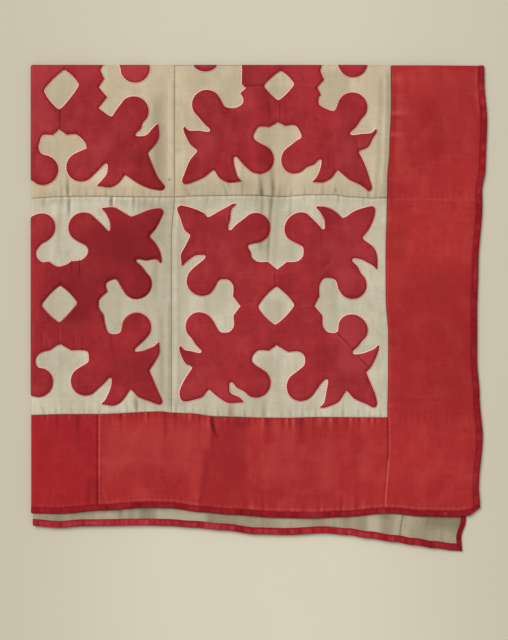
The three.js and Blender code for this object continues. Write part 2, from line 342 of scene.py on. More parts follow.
@dataclass(frozen=True)
class Crease:
    """A soft line pressed into the cloth, from one flat spot to another."""

    start: tuple[float, float]
    end: tuple[float, float]
    push: float
    width: float = 3.0

    @property
    def length(self) -> float:
        """How long the crease is."""
        return math.dist(self.start, self.end)

    def height(self, across: np.ndarray, along: np.ndarray) -> np.ndarray:
        """How far the crease lifts each spot, in millimetres.

        Args:
            across: how far across the quilt each spot is.
            along: how far along it each spot is.

        Returns:
            Millimetres for each spot.
        """
        (a, b), (c, d) = self.start, self.end
        run = ((across - a) * (c - a) + (along - b) * (d - b)) / self.length
        off = ((across - a) * (d - b) - (along - b) * (c - a)) / self.length
        fade = min(0.35 * self.length, 25.0)
        ends = smooth(run, -fade * 0.3, fade) * smooth(self.length - run, -fade * 0.3, fade)
        return self.push * ends * fold_section(off / self.width)


def creases(*rows: tuple[float, ...]) -> tuple[Crease, ...]:
    """Makes creases from rows of their start, their end, their push and their width."""
    return tuple(Crease((a, b), (c, d), *rest) for a, b, c, d, *rest in rows)


@dataclass(frozen=True)
class Patch:
    """A soft-edged patch where the cloth is darker (below 0) or paler (above 0)."""

    across: tuple[float, float]
    along: tuple[float, float]
    amount: float
    soft: float = 25.0

    def tone(self, across: np.ndarray, along: np.ndarray) -> np.ndarray:
        """The patch's tone at each spot.

        Args:
            across: how far across the quilt each spot is.
            along: how far along it each spot is.

        Returns:
            The tone for each spot.
        """
        total = np.full_like(across, self.amount)
        for at, (low, high) in ((across, self.across), (along, self.along)):
            total *= smooth(at, low - self.soft, low + self.soft)
            total *= smooth(-at, -high - self.soft, -high + self.soft)
        return total


def patches(*rows: tuple[float, ...]) -> tuple[Patch, ...]:
    """Makes patches from rows of their two sides across, their two along, their amount and softness."""
    return tuple(Patch((a, b), (c, d), *rest) for a, b, c, d, *rest in rows)


@dataclass(frozen=True)
class TopLayer:
    """Relief and tone of the layer that shows."""

    seams: tuple[SeamSide, ...] = (
        SeamSide(
            Along.LOW_ROW_SEAM,
            1,
            puckers(
                (74, -0.5), (88, -1.0, 4, 45), (113, -0.5), (132, -0.5), (155, -0.5), (179, -0.6),
                (224, -0.5), (242, -0.5), (266, -0.6), (285, -0.5), (309, -0.5), (376, -0.8, 6, 26, -0.5),
                (470, -0.8, 5, 24, -0.4), (507, -0.5), (552, -1.0, 7, 40), (580, -0.9, 5, 40), (598, -0.6),
                (626, -0.6), (659, -0.6), (678, -0.5), (702, -0.7, 4, 28), (732, -0.7), (748, -0.5),
                (812, -0.8, 4, 26), (832, -0.6),
            ),
        ),
        SeamSide(
            Along.LOW_ROW_SEAM,
            -1,
            puckers(
                (30, -0.5, 4, 26), (74, -0.6, 9, 30), (92, -1.0, 5, 40), (191, -1.1, 4, 24),
                (199, 0.8, 3, 16), (245, -0.8, 4, 34), (273, -0.5), (290, -0.5), (306, -0.5), (420, -0.5),
                (470, -0.5), (576, -0.8, 6, 40), (660, -0.5), (740, -0.6), (800, -0.5),
            ),
            allowance=0.2,
            allowance_width=6.0,
        ),
        SeamSide(
            Along.FOOT_SEAM,
            1,
            puckers(
                (33, -0.6, 4, 22, -0.3), (62, -0.6), (98, -0.6), (129, -0.5), (144, -0.5), (168, -0.5),
                (214, -0.5), (235, -0.5), (258, -0.8, 4, 34), (277, -0.5), (302, -0.5),
                (353, -0.8, 4, 26), (374, -0.5), (453, -0.5), (484, -0.8, 8, 34), (517, -0.5),
                (536, -0.5), (562, -0.8, 6, 28), (605, -0.5), (628, -0.5), (655, -0.5), (688, -0.5),
                (752, -0.8, 4, 30), (788, -0.5), (817, -0.5), (842, -0.6),
            ),
        ),
        SeamSide(
            Along.FOOT_SEAM,
            -1,
            puckers(
                (43, 0.8, 4, 14), (65, -0.8, 4, 30), (93, 0.7, 4, 14), (115, -0.8, 7, 60),
                (134, 0.8, 4, 12), (145, 0.7, 4, 12), (218, -0.9, 4, 30), (230, 0.7, 4, 14),
                (280, 1.2, 3.5, 15), (286, -0.9, 3, 18), (303, -0.7, 4, 16), (327, -0.9, 4, 42),
                (352, -0.9, 4, 24), (385, 1.0, 5, 16), (409, -0.7, 4, 20), (429, 0.7, 4, 18),
                (440, -1.2, 5, 60), (468, 0.8, 4, 18), (478, -0.7, 3, 16), (500, -0.6, 4, 14),
                (526, -0.7, 4, 18), (559, 0.8, 4, 16), (573, -1.1, 8, 30), (606, -0.7, 4, 16),
                (617, 0.8, 4, 20), (633, 0.9, 4, 24), (652, -1.0, 7, 34), (680, -0.8, 4, 20),
                (697, 0.8, 4, 16), (710, -0.8, 4, 20), (723, 1.2, 4, 16), (736, -0.8, 4, 20),
                (760, -0.8, 4, 24), (770, 0.9, 4, 16), (790, -0.8, 4, 22), (800, 0.8, 3, 14),
                (813, -0.7, 3, 16), (821, 0.8, 3, 14), (829, -0.6, 3, 14), (846, -0.7, 3, 18),
            ),
            fine=0.3,
        ),
        SeamSide(
            Along.FOOT_EDGE + BINDING_WIDTH,
            1,
            puckers(
                (140, -0.5, 8, 34), (150, 0.6, 5, 30), (415, -0.5, 5, 40), (523, -0.7, 5, 30),
                (539, 0.4, 4, 16), (563, -0.5, 4, 34), (590, -0.5, 5, 12), (617, -0.4, 4, 12),
                (636, 0.4, 5, 14), (662, -0.7, 5, 16), (697, -0.6, 5, 20), (706, 0.4, 5, 16),
                (727, 0.4, 5, 14), (754, -0.7, 4, 34), (771, -0.5, 4, 22), (790, -0.6, 5, 30),
                (808, 0.5, 6, 24), (830, -0.5, 5, 18),
            ),
            allowance=0.35,
            allowance_width=5.0,
        ),
        SeamSide(
            Across.MIDDLE_RIGHT_SEAM,
            1,
            puckers((-96, -0.5, 4, 14), (-205, -0.4, 4, 12), (-371, 0.5, 4, 12), (-640, -0.5, 4, 12)),
            span=(-840.0, 0.0),
            lengthwise=True,
            fine=0.08,
            allowance=0.12,
            allowance_width=13.0,
        ),
        SeamSide(Across.MIDDLE_RIGHT_SEAM, -1, span=(-840.0, 0.0), lengthwise=True, fine=0.1),
        SeamSide(Across.RIGHT_SEAM, -1, span=(-840.0, 0.0), lengthwise=True, fine=0.1),
        SeamSide(
            Across.RIGHT_SEAM,
            1,
            puckers(
                (-35, 0.5, 6, 20), (-60, -0.4, 8, 30), (-112, 0.9, 6, 26), (-128, -0.5, 5, 24),
                (-164, 0.8, 5, 18), (-260, -0.4, 6, 24), (-420, 0.4, 5, 18), (-455, -0.4, 6, 22),
                (-660, -0.4, 6, 26), (-812, 0.5, 5, 20),
            ),
            span=(-1075.0, 0.0),
            lengthwise=True,
            fine=0.1,
            allowance=0.25,
            allowance_width=5.0,
        ),
        SeamSide(
            Across.FOOT_JOIN, 1, span=(-1075.0, -840.0), lengthwise=True, allowance=0.5, allowance_width=6.0
        ),
        SeamSide(Across.FOOT_JOIN, -1, span=(-1075.0, -840.0), lengthwise=True, allowance=0.08),
        SeamSide(Across.RIGHT_EDGE - BINDING_WIDTH, -1, lengthwise=True, allowance=0.3, allowance_width=5.0),
    )  # fmt: skip
    creases: tuple[Crease, ...] = creases(
        (434, -843, 453, -900, -1.1, 5), (428, -940, 412, -1060, -0.35, 9),
        (862, -940, 860, -1058, 0.5, 2.2), (885, -798, 1000, -799, -0.35, 2.5),
        (173, -1010, 186, -1056, 0.35, 4), (186, -1056, 240, -1046, 0.3, 4),
        (578, -318, 574, -480, -0.6, 4), (556, -318, 555, -450, -0.35, 5),
        (566, -190, 584, -312, -0.45, 7), (545, -230, 552, -312, -0.4, 4),
        (508, -220, 506, -312, -0.3, 5), (470, -270, 477, -312, -0.4, 4), (625, -322, 625, -420, -0.3, 4),
        (704, -322, 700, -440, -0.3, 4), (832, -20, 834, -300, -0.3, 6), (843, -20, 846, -300, 0.3, 5),
        (68, -325, 70, -470, -0.3, 7), (88, -270, 88, -312, -0.5, 4), (90, -322, 92, -362, -0.6, 4),
        (191, -318, 193, -350, -0.6, 4), (300, -80, 296, -280, -0.4, 12), (329, -30, 330, -300, 0.3, 7),
        (306, -440, 300, -560, -0.3, 8), (316, -600, 318, -800, -0.25, 7),
        (336, -560, 337, -836, -0.4, 3), (253, -800, 256, -836, -0.6, 5), (360, -100, 362, -300, 0.25, 6),
        (352, -330, 352, -830, 0.2, 5),
    )  # fmt: skip
    # Darker and paler patches, matched spot by spot: partly painted shade and light of soft folds and of the
    # cloth by seams and the binding, partly the cloth's own uneven colour; the last three are small dark
    # specks.
    patches: tuple[Patch, ...] = patches(
        (420, 520, -1062, -850, -0.45, 8), (0, 160, -1060, -850, -0.15, 20),
        (418, 442, -925, -850, 0.4, 10), (560, 660, -985, -840, 0.3, 34),
        (180, 325, -975, -865, 0.25, 20), (140, 180, -1075, -995, -0.5, 14),
        (180, 250, -1075, -1020, -0.25, 14), (490, 530, -868, -840, -0.4, 10),
        (640, 665, -905, -840, -0.35, 10), (170, 360, -852, -840, -0.35, 6),
        (875, 1070, -860, -470, -0.34, 40), (970, 1010, -730, -650, 0.3, 20),
        (960, 1000, -560, -490, -0.25, 20), (890, 1060, -205, 20, 0.1, 40),
        (930, 985, -215, -90, -0.3, 22), (866, 905, -460, -380, -0.35, 18),
        (862, 885, -235, -20, 0.35, 12), (340, 395, -985, -870, 0.3, 20),
        (695, 735, -1010, -890, 0.3, 18), (790, 830, -990, -930, 0.3, 16),
        (600, 660, -960, -845, -0.15, 14), (856.5, 860.5, -1056, -946, 0.95, 1.5),
        (298, 324, -290, -140, -0.3, 10), (536, 560, -360, -300, -0.35, 8),
        (556, 580, -440, -370, -0.2, 8), (600, 636, -430, -370, 0.2, 10),
        (536, 556, -185, -135, -0.25, 8), (562, 588, -900, -850, -0.25, 8),
        (608, 636, -930, -865, 0.15, 8), (397, 430, -950, -855, 0.2, 10),
        (1056, 1100, -1100, -120, -0.5, 12), (550, 625, -330, -60, -0.35, 18),
        (500, 530, -320, -190, -0.2, 12), (550, 640, -470, -325, -0.35, 16),
        (683, 760, -115, 20, -0.45, 14), (815, 842, -310, -100, 0.1, 8), (846, 870, -320, 20, -0.45, 6),
        (60, 860, -325, -285, -0.25, 14), (286, 320, -285, -70, -0.45, 12),
        (285, 322, -425, -335, -0.3, 10), (332, 352, -800, -330, 0.12, 8),
        (25, 112, -618, -524, -0.35, 14), (566, 590, -68, -30, -0.3, 8), (545, 578, -290, -90, -0.25, 14),
        (540, 570, -450, -380, -0.3, 12), (415, 445, -345, -328, -0.25, 8),
        (510, 545, -345, -315, -0.25, 8), (-5, 60, -335, -300, -0.2, 8), (190, 290, -342, -320, -0.2, 8),
        (612, 640, -352, -285, 0.4, 10), (455, 545, -300, -270, -0.25, 12),
        (370, 410, -300, -265, -0.2, 12), (832, 856, -110, -20, -0.3, 8),
        (690, 745, -640, -510, -0.3, 14), (400, 470, -600, -520, -0.25, 14),
        (650, 690, -830, -790, -0.25, 10), (700, 722, -838, -800, 0.25, 8),
        (775, 795, -838, -790, 0.2, 8), (105, 290, -288, -255, 0.25, 12), (32, 75, -420, -362, -0.35, 10),
        (0, 105, -745, -690, -0.2, 12), (175, 205, -775, -745, -0.3, 8),
        (160, 228, -655, -500, -0.45, 12), (250, 372, -830, -325, -0.42, 14),
        (410, 640, -845, -765, -0.2, 18), (455, 575, -845, -775, -0.2, 18),
        (560, 610, -640, -560, -0.4, 12), (555, 595, -770, -690, -0.3, 14), (48, 70, -420, -330, 0.35, 8),
        (0, 44, -480, -425, -0.4, 12), (105, 135, -480, -420, 0.1, 12), (150, 190, -275, -240, 0.3, 12),
        (35, 115, -95, -15, -0.2, 14), (326.5, 331.5, -275.5, -270.5, -2, 2),
        (793.5, 798.5, -61.5, -58.5, -1.5, 2), (730, 735, -304.5, -301, -1.8, 2),
    )  # fmt: skip
    full_height: float = 2.3
    lowest: float = -2.4
    highest: float = 2.3
    # How much crease height turns into tone: painted shade in the troughs, painted highlight on the ridges.
    shade: float = 0.6

    def shown(self, across: np.ndarray, along: np.ndarray) -> np.ndarray:
        """1 on the top layer, fading to 0 at its two folds and 0 elsewhere."""
        return smooth(across, 8, 24) * smooth(-along, 4, 20)

    def creased(self, across: np.ndarray, along: np.ndarray) -> np.ndarray:
        """How far seams and creases lift each spot, in millimetres.

        Args:
            across: how far across the quilt each spot is.
            along: how far along it each spot is.

        Returns:
            Millimetres for each spot.
        """
        total = np.zeros_like(across)
        for part in (*self.seams, *self.creases):
            total += part.height(across, along)
        return np.clip(self.full_height * total, self.lowest, self.highest) * self.shown(across, along)

    def height(self, across: np.ndarray, along: np.ndarray) -> np.ndarray:
        """How far each spot of the top layer stands above the plain cloth, in millimetres."""
        swell = 0.35 * np.sin(across / 61) * np.sin(along / 73 + 0.8) + 0.2 * np.sin(across / 37 + along / 90)
        return self.creased(across, along) + swell * self.shown(across, along)

    def tone(self, across: np.ndarray, along: np.ndarray) -> np.ndarray:
        """How much darker (below 0) or paler (above 0) each spot of the top layer is.

        Args:
            across: how far across the quilt each spot is.
            along: how far along it each spot is.

        Returns:
            The tone for each spot.
        """
        # Painted shade in the troughs and painted highlight on the ridges, then the patches.
        total = self.shade * self.creased(across, along)
        for patch in self.patches:
            total += patch.tone(across, along) * self.shown(across, along)
        # A painted shade line where the cloth turns over the crosswise fold.
        return total - 1.2 * np.exp(-((along / 2) ** 2)) * (across > 4)


# ---- Finishes ------------------------------------------------------------------------------------


def linear(hex_colour: str) -> tuple[float, float, float, float]:
    """Turns a colour written as #rrggbb into linear red, green, blue and alpha.

    Args:
        hex_colour: the colour, as #rrggbb.

    Returns:
        Its four values.
    """
    channels = [int(hex_colour[i : i + 2], 16) / 255 for i in (1, 3, 5)]
    red, green, blue = (c / 12.92 if c <= 0.04045 else ((c + 0.055) / 1.055) ** 2.4 for c in channels)
    return red, green, blue, 1.0


class NodeBench:
    """Adds and joins the nodes of one material."""

    def __init__(self, name: str, place: str = "UV") -> None:
        """Starts a material with a Principled shader, its patterns placed by the coordinates named.

        Args:
            name: the material's name.
            place: the kind of coordinates.
        """
        self.place = place
        self.material = bpy.data.materials.new(name)
        self.material.use_nodes = True
        self.tree = self.material.node_tree
        self.shader = self.tree.nodes["Principled BSDF"]

    def add(self, kind: str, **settings: object) -> bpy.types.Node:
        """Adds a node and sets its properties.

        Args:
            kind: the node's type.
            **settings: its properties.

        Returns:
            The node.
        """
        node = self.tree.nodes.new(kind)
        for key, value in settings.items():
            setattr(node, key, value)
        return node

    def join(self, source: bpy.types.NodeSocket, target: bpy.types.NodeSocket) -> None:
        """Links one socket to another."""
        self.tree.links.new(source, target)

    def feed(self, target: bpy.types.NodeSocket, value: object) -> None:
        """Gives a socket a value, or links it to the socket that has it.

        Args:
            target: the socket.
            value: a socket or a plain value.
        """
        if isinstance(value, bpy.types.NodeSocket):
            self.join(value, target)
        else:
            target.default_value = value

    def math(self, operation: str, first: object, second: object = 0.0) -> bpy.types.NodeSocket:
        """Adds a Math node.

        Args:
            operation: its operation.
            first: a socket or a number.
            second: a socket or a number.

        Returns:
            Its result socket.
        """
        node = self.add("ShaderNodeMath", operation=operation)
        self.feed(node.inputs[0], first)
        self.feed(node.inputs[1], second)
        return node.outputs[0]

    def ramp(self, source: bpy.types.NodeSocket, low: float, high: float) -> bpy.types.NodeSocket:
        """Stretches a value from low to high over 0 to 1, with soft ends.

        Args:
            source: the value's socket.
            low: what becomes 0.
            high: what becomes 1.

        Returns:
            The result socket.
        """
        node = self.add("ShaderNodeMapRange", interpolation_type="SMOOTHSTEP")
        self.join(source, node.inputs["Value"])
        node.inputs["From Min"].default_value = low
        node.inputs["From Max"].default_value = high
        return node.outputs["Result"]

    def share(self, value: bpy.types.NodeSocket, start: float, span: float = 1.0) -> bpy.types.NodeSocket:
        """How far a value is from a start to the end of a span, held between 0 and 1.

        Args:
            value: the value's socket.
            start: where the span starts.
            span: how long it is.

        Returns:
            The result socket.
        """
        node = self.add("ShaderNodeMapRange")
        self.join(value, node.inputs["Value"])
        node.inputs["From Min"].default_value = start
        node.inputs["From Max"].default_value = start + span
        return node.outputs["Result"]

    def mapped(self, scale: tuple[float, float, float], turn: float = 0.0) -> bpy.types.NodeSocket:
        """The piece's own flat coordinates in metres, scaled and turned.

        Args:
            scale: how much to stretch them each way.
            turn: how far to turn them, in radians.

        Returns:
            The result socket.
        """
        where = self.add("ShaderNodeTexCoord")
        node = self.add("ShaderNodeMapping")
        node.inputs["Scale"].default_value = scale
        node.inputs["Rotation"].default_value = (0, 0, turn)
        self.join(where.outputs[self.place], node.inputs["Vector"])
        return node.outputs["Vector"]

    def noise(
        self, scale: tuple[float, float, float], detail: float, turn: float = 0.0
    ) -> bpy.types.NodeSocket:
        """Cloudy noise with so many spots to the metre each way.

        Args:
            scale: the spots to the metre each way.
            detail: how fine its detail is.
            turn: how far to turn it, in radians.

        Returns:
            The result socket.
        """
        node = self.add("ShaderNodeTexNoise")
        node.inputs["Scale"].default_value = 1.0
        node.inputs["Detail"].default_value = detail
        self.join(self.mapped(scale, turn), node.inputs["Vector"])
        return node.outputs["Fac"]

    def threads(self, direction: str, pitch: float) -> bpy.types.NodeSocket:
        """Rows of round threads a pitch apart, in metres.

        Args:
            direction: the way across the threads, X or Y.
            pitch: how far apart they are.

        Returns:
            The result socket.
        """
        node = self.add("ShaderNodeTexWave", bands_direction=direction)
        node.inputs["Scale"].default_value = math.pi / 10 / pitch
        node.inputs["Distortion"].default_value = 0.6
        node.inputs["Detail"].default_value = 0.0
        self.join(self.mapped((1, 1, 1)), node.inputs["Vector"])
        return node.outputs["Fac"]

    def blend(self, share: object, first: object, second: object) -> bpy.types.NodeSocket:
        """Mixes two colours by a share, each a socket or a colour.

        Args:
            share: how much of the second colour shows.
            first: the first colour.
            second: the second colour.

        Returns:
            The result socket.
        """
        node = self.add("ShaderNodeMix", data_type="RGBA", blend_type="MIX")
        self.feed(node.inputs[0], share)
        self.feed(node.inputs[6], first)
        self.feed(node.inputs[7], second)
        return node.outputs[2]


@dataclass(frozen=True)
class Cotton:
    """A plain-woven cotton, with its colours, how unevenly it took and kept them, and the painted shade and
    highlight of its tone.
    """

    name: str
    base: str
    dark: str
    pale: str
    # The last two colours are those of the darkest and palest tone: the darkest for painted shadow and small
    # dark specks, the palest a painted highlight.
    deep: str
    worn: str
    cloudy: float = 0.5
    mottled: float = 0.3
    brushed: float = 0.3
    streak: str = ""
    streaky: float = 0.0
    pitch: float = 0.0007
    roughness: float = 0.88
    sheen: float = 0.02
    specular: float = 0.1
    bump: float = 0.35
    bump_depth: float = 0.00025

    def material(self) -> bpy.types.Material:
        """Builds the material.

        Returns:
            The material, which is made once.
        """
        made = bpy.data.materials.get(self.name)
        if made is not None:
            return made
        bench = NodeBench(self.name)
        dark, pale = linear(self.dark), linear(self.pale)
        cloud = bench.ramp(bench.noise((3.4, 2.7, 1), 3), 0.35, 0.68)
        mottle = bench.ramp(bench.noise((24, 17, 1), 3), 0.42, 0.72)
        spots = bench.ramp(bench.noise((61, 52, 1), 2, 0.7), 0.5, 0.75)
        colour = bench.blend(bench.math("MULTIPLY", cloud, self.cloudy), linear(self.base), dark)
        colour = bench.blend(bench.math("MULTIPLY", mottle, self.mottled), colour, pale)
        colour = bench.blend(bench.math("MULTIPLY", spots, self.mottled), colour, dark)
        brushes = (((11, 150, 1), pale), ((170, 12, 1), dark), ((13, 210, 1), dark), ((240, 15, 1), pale))
        for scale, shade in brushes:
            brush = bench.ramp(bench.noise(scale, 2), 0.48, 0.74)
            colour = bench.blend(bench.math("MULTIPLY", brush, self.brushed), colour, shade)
        if self.streak:
            long = bench.ramp(bench.noise((46, 4, 1), 3), 0.45, 0.7)
            colour = bench.blend(bench.math("MULTIPLY", long, self.streaky), colour, linear(self.streak))

        # The tone attribute darkens and pales the cloth: mostly painted shade and painted highlight that
        # follow creases, seams and edges, with some darker and paler patches of the cloth itself.
        tone = bench.add("ShaderNodeAttribute", attribute_name="tone").outputs["Fac"]
        depth = bench.math("MULTIPLY", tone, -1.0)
        colour = bench.blend(bench.share(depth, 0.0), colour, dark)
        colour = bench.blend(bench.share(depth, 1.0), colour, linear(self.deep))
        colour = bench.blend(bench.share(tone, 0.0), colour, pale)
        colour = bench.blend(bench.share(tone, 1.0), colour, linear(self.worn))

        warp, weft = bench.threads("X", self.pitch), bench.threads("Y", self.pitch)
        weave = bench.math("MULTIPLY", warp, weft)
        slub = bench.noise((900, 160, 1), 2)
        colour = bench.blend(bench.math("MULTIPLY", bench.ramp(slub, 0.45, 0.8), 0.16), colour, pale)
        bench.join(colour, bench.shader.inputs["Base Color"])

        relief = bench.math("ADD", weave, bench.math("MULTIPLY", slub, 0.8))
        bump = bench.add("ShaderNodeBump")
        bump.inputs["Strength"].default_value = self.bump
        bump.inputs["Distance"].default_value = self.bump_depth
        bench.join(relief, bump.inputs["Height"])
        bench.join(bump.outputs["Normal"], bench.shader.inputs["Normal"])
        rough = bench.math("ADD", bench.math("MULTIPLY", mottle, 0.08), self.roughness - 0.04)
        bench.join(rough, bench.shader.inputs["Roughness"])
        bench.shader.inputs["Sheen Weight"].default_value = self.sheen
        bench.shader.inputs["Sheen Roughness"].default_value = 0.5
        bench.shader.inputs["Specular IOR Level"].default_value = self.specular
        return bench.material


class Finishes:
    """The quilt's cottons."""

    CREAM_OLIVE = Cotton(
        "cream_olive", "#cbb998", "#a1937a", "#dfd3b9", "#5d523c", "#e8dfcc", 0.4, 0.25, 0.1, "#aea78b", 0.45
    )
    CREAM_GREY = Cotton(
        "cream_grey", "#cac1aa", "#9c8f77", "#e2dcca", "#5d5443", "#eae5d8", 0.35, 0.25, 0.1, "#aaa792", 0.45
    )
    # The backing's colours are darker than the face's creams, partly painted shade: the strip that shows lies
    # in the shade of the folded hem.
    BACKING = Cotton(
        "backing_cotton", "#a2957c", "#756a53", "#bfb49b", "#4c4535", "#cdc3ae", 0.4, 0.25, 0.12,
        "#827b67", 0.55,
    )  # fmt: skip
    BORDER = Cotton(
        "turkey_red_border", "#ab2c2c", "#8b1b20", "#bf4a45", "#4d0e13", "#d58578", 0.5, 0.28, 0.1
    )
    BORDER_OLD = Cotton(
        "turkey_red_border_turned", "#a22126", "#84161c", "#b6383a", "#4a0d12", "#d08074", 0.5, 0.28, 0.1
    )
    LEAF = Cotton("turkey_red_leaves", "#a0282d", "#7a1a20", "#b53f43", "#3f0c0e", "#efc4b2", 0.7, 0.38, 0.13)
    BINDING = Cotton("madder_binding", "#94101b", "#6a0912", "#bf454c", "#38070c", "#d08a8c", 0.4, 0.25, 0.1)
    THREAD = Cotton("red_thread", "#7c2226", "#5e1418", "#a85050", "#3a0d10", "#c07a70", 0.3, 0.3, 0.1)


# ---- Cloth as meshes -----------------------------------------------------------------------------


@dataclass(frozen=True)
class Lines:
    """The grid lines that pieces of cloth share, one way of the quilt."""

    fold_turn: float
    fold_steps: int
    spans: tuple[tuple[float, float, float], ...]
    near_end: tuple[float, ...] = (0.5, 1.2, 2.4, 4.2, 7.0)
    least: float = 0.45

    def between(self, start: float, stop: float) -> list[float]:
        """The lines of a piece that runs from start to stop, both included.

        Args:
            start: where the piece starts.
            stop: where it stops.

        Returns:
            The lines, in rising order.
        """
        lines = list(np.linspace(-self.fold_turn, self.fold_turn, self.fold_steps + 1))
        for low, high, step in self.spans:
            lines += list(np.linspace(low, high, max(1, round((high - low) / step)) + 1))
        inner = {line for line in lines if start + self.near_end[-1] < line < stop - self.near_end[-1]}
        ends = {start + d for d in self.near_end} | {stop - d for d in self.near_end} | {start, stop}
        kept: list[float] = []
        for line in sorted(inner | {e for e in ends if start <= e <= stop}):
            if not kept or line - kept[-1] > self.least:
                kept.append(line)
        kept[-1] = stop
        return kept


COLUMNS = Lines(
    7.5,
    18,
    (
        (Across.LEFT_EDGE, -60, 42),
        (-60, -7.5, 12),
        (7.5, Across.RIGHT_SEAM, 2.2),
        (Across.RIGHT_SEAM, Across.RIGHT_EDGE, 5.0),
    ),
)
ROWS = Lines(
    3.5,
    14,
    (
        (Along.FOOT_EDGE, Along.FOOT_EDGE + 60, 3.4),
        (Along.FOOT_EDGE + 60, Along.FOOT_SEAM - 60, 10),
        (Along.FOOT_SEAM - 60, Along.FOOT_SEAM + 50, 3.6),
        (Along.FOOT_SEAM + 50, Along.LOW_ROW_SEAM - 50, 10),
        (Along.LOW_ROW_SEAM - 50, Along.LOW_ROW_SEAM + 50, 3.6),
        (Along.LOW_ROW_SEAM + 50, -3.5, 10),
        (3.5, 40, 9),
        (40, Along.HEAD_EDGE - 90, 42),
        (Along.HEAD_EDGE - 90, Along.HEAD_EDGE, 7),
    ),
)
BACK_COLUMNS = Lines(
    7.5,
    18,
    (
        (Across.LEFT_EDGE, -60, 42),
        (-60, -7.5, 12),
        (7.5, Across.RIGHT_EDGE, 8),
    ),
)
BACK_ROWS = Lines(
    3.5,
    14,
    (
        (Along.FOOT_EDGE, Along.FOOT_EDGE + 60, 7),
        (Along.FOOT_EDGE + 60, -3.5, 24),
        (3.5, 40, 9),
        (40, Along.HEAD_EDGE - 90, 42),
        (Along.HEAD_EDGE - 90, Along.HEAD_EDGE, 5),
    ),
)
FOLD = FoldMap()
TOP = TopLayer()
WIDE = (Across.LEFT_EDGE, Across.RIGHT_EDGE)
LONG = (Along.FOOT_EDGE, Along.HEAD_EDGE)


def slab(columns: list[float], rows: list[float]) -> bmesh.types.BMesh:
    """A closed flat slab of cloth over a grid of lines, from height 0 to height 1.

    Args:
        columns: the grid lines across.
        rows: the grid lines along.

    Returns:
        The slab.
    """
    bm = bmesh.new()
    bmesh.ops.create_grid(bm, x_segments=len(columns) - 1, y_segments=len(rows) - 1, size=0.5)
    for v in bm.verts:
        i = round((v.co.x + 0.5) * (len(columns) - 1))
        j = round((v.co.y + 0.5) * (len(rows) - 1))
        v.co = (columns[i], rows[j], 0)
    close_slab(bm)
    return bm


def close_slab(bm: bmesh.types.BMesh) -> None:
    """Gives a sheet of faces a copy a step higher, lays the sheet itself flat and joins the two.

    Args:
        bm: the sheet, at most 1 high.
    """
    made = bmesh.ops.extrude_face_region(bm, geom=bm.faces[:], use_keep_orig=True)
    raised = {g for g in made["geom"] if isinstance(g, bmesh.types.BMVert)}
    for v in bm.verts:
        v.co.z = v.co.z + 1 if v in raised else 0
    bmesh.ops.recalc_face_normals(bm, faces=bm.faces[:])


class Piece:
    """One piece of cloth: a flat mesh, then its heights, its tone and its place in the stack."""

    def __init__(self, name: str, bm: bmesh.types.BMesh) -> None:
        """Keeps the flat mesh and takes down its spots.

        Args:
            name: the piece's name.
            bm: its flat mesh, which is freed.
        """
        self.name = name
        self.mesh = bpy.data.meshes.new(name)
        bm.to_mesh(self.mesh)
        bm.free()
        spots = np.empty(len(self.mesh.vertices) * 3)
        self.mesh.vertices.foreach_get("co", spots)
        self.flat = spots.reshape(-1, 3)

    def finish(self, heights: np.ndarray, tone: np.ndarray, cotton: Cotton) -> bpy.types.Object:
        """Folds the piece into the stack and dresses it.

        Args:
            heights: how high each vertex lies above the middle of the cloth, in millimetres.
            tone: how much paler or darker each vertex is.
            cotton: its finish.

        Returns:
            The object, at the origin, with its place in its mesh.
        """
        mesh = self.mesh
        loops = np.empty(len(mesh.loops), int)
        mesh.loops.foreach_get("vertex_index", loops)
        layer = mesh.uv_layers.new(name="Cloth")
        layer.uv.foreach_set("vector", (self.flat[loops, :2] * MM).ravel())
        mesh.attributes.new("tone", "FLOAT", "POINT").data.foreach_set("value", tone.astype(np.float32))
        spots = FOLD.place(np.column_stack([self.flat[:, :2], heights]))
        mesh.vertices.foreach_set("co", spots.ravel())
        mesh.polygons.foreach_set("use_smooth", np.ones(len(mesh.polygons), bool))
        mesh.materials.append(cotton.material())
        mesh.update()
        made = bpy.data.objects.new(self.name, mesh)
        bpy.context.scene.collection.objects.link(made)
        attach(made, "root")
        LOG.info("%s: %d faces", self.name, len(mesh.polygons))
        return made


class Kind(Enum):
    """What a patch of the face is."""

    BLOCK = "cream_ground"
    BORDER = "red_border"


@dataclass(frozen=True)
class FacePatch:
    """A patch of the quilt's face, cut from one cloth."""

    name: str
    kind: Kind
    cotton: Cotton
    across: tuple[float, float]
    along: tuple[float, float]

    @property
    def size(self) -> tuple[float, float]:
        """Flat width and length, in metres."""
        return (self.across[1] - self.across[0]) * MM, (self.along[1] - self.along[0]) * MM


# Heights above the middle of the cloth, in millimetres.
BLOCK_FACE = 0.9
BORDER_FACE = 1.4
INNER_FACE = 0.15
SEAM_FACE = 0.35
THINNEST = 0.2
TOP_PLUMP = 0.9
BOUND_FACE = 0.5
# How far in from a seam or an edge something ends or fades, in millimetres.
SEAM_ROLL = 1.3
SEAM_DARK_REACH = 0.9
PLUMP_REACH = 6.0
SEAM_GAP = 0.05
CLOTH_END = 1.0
BOUND_FRONT = 15.6
BOUND_BACK = 17.2
# The tone of the shadow that lies in a seam.
SEAM_DARK = -1.5


def from_sides(patch: FacePatch, across: np.ndarray, along: np.ndarray) -> np.ndarray:
    """How far each spot lies inside the nearest side of its patch.

    Args:
        patch: the patch they lie on.
        across: how far across the quilt each spot is.
        along: how far along it each spot is.

    Returns:
        Millimetres for each spot, and 0 outside the patch.
    """
    by_side = (across - patch.across[0], patch.across[1] - across)
    by_end = (along - patch.along[0], patch.along[1] - along)
    return np.clip(np.minimum.reduce((*by_side, *by_end)), 0, None)


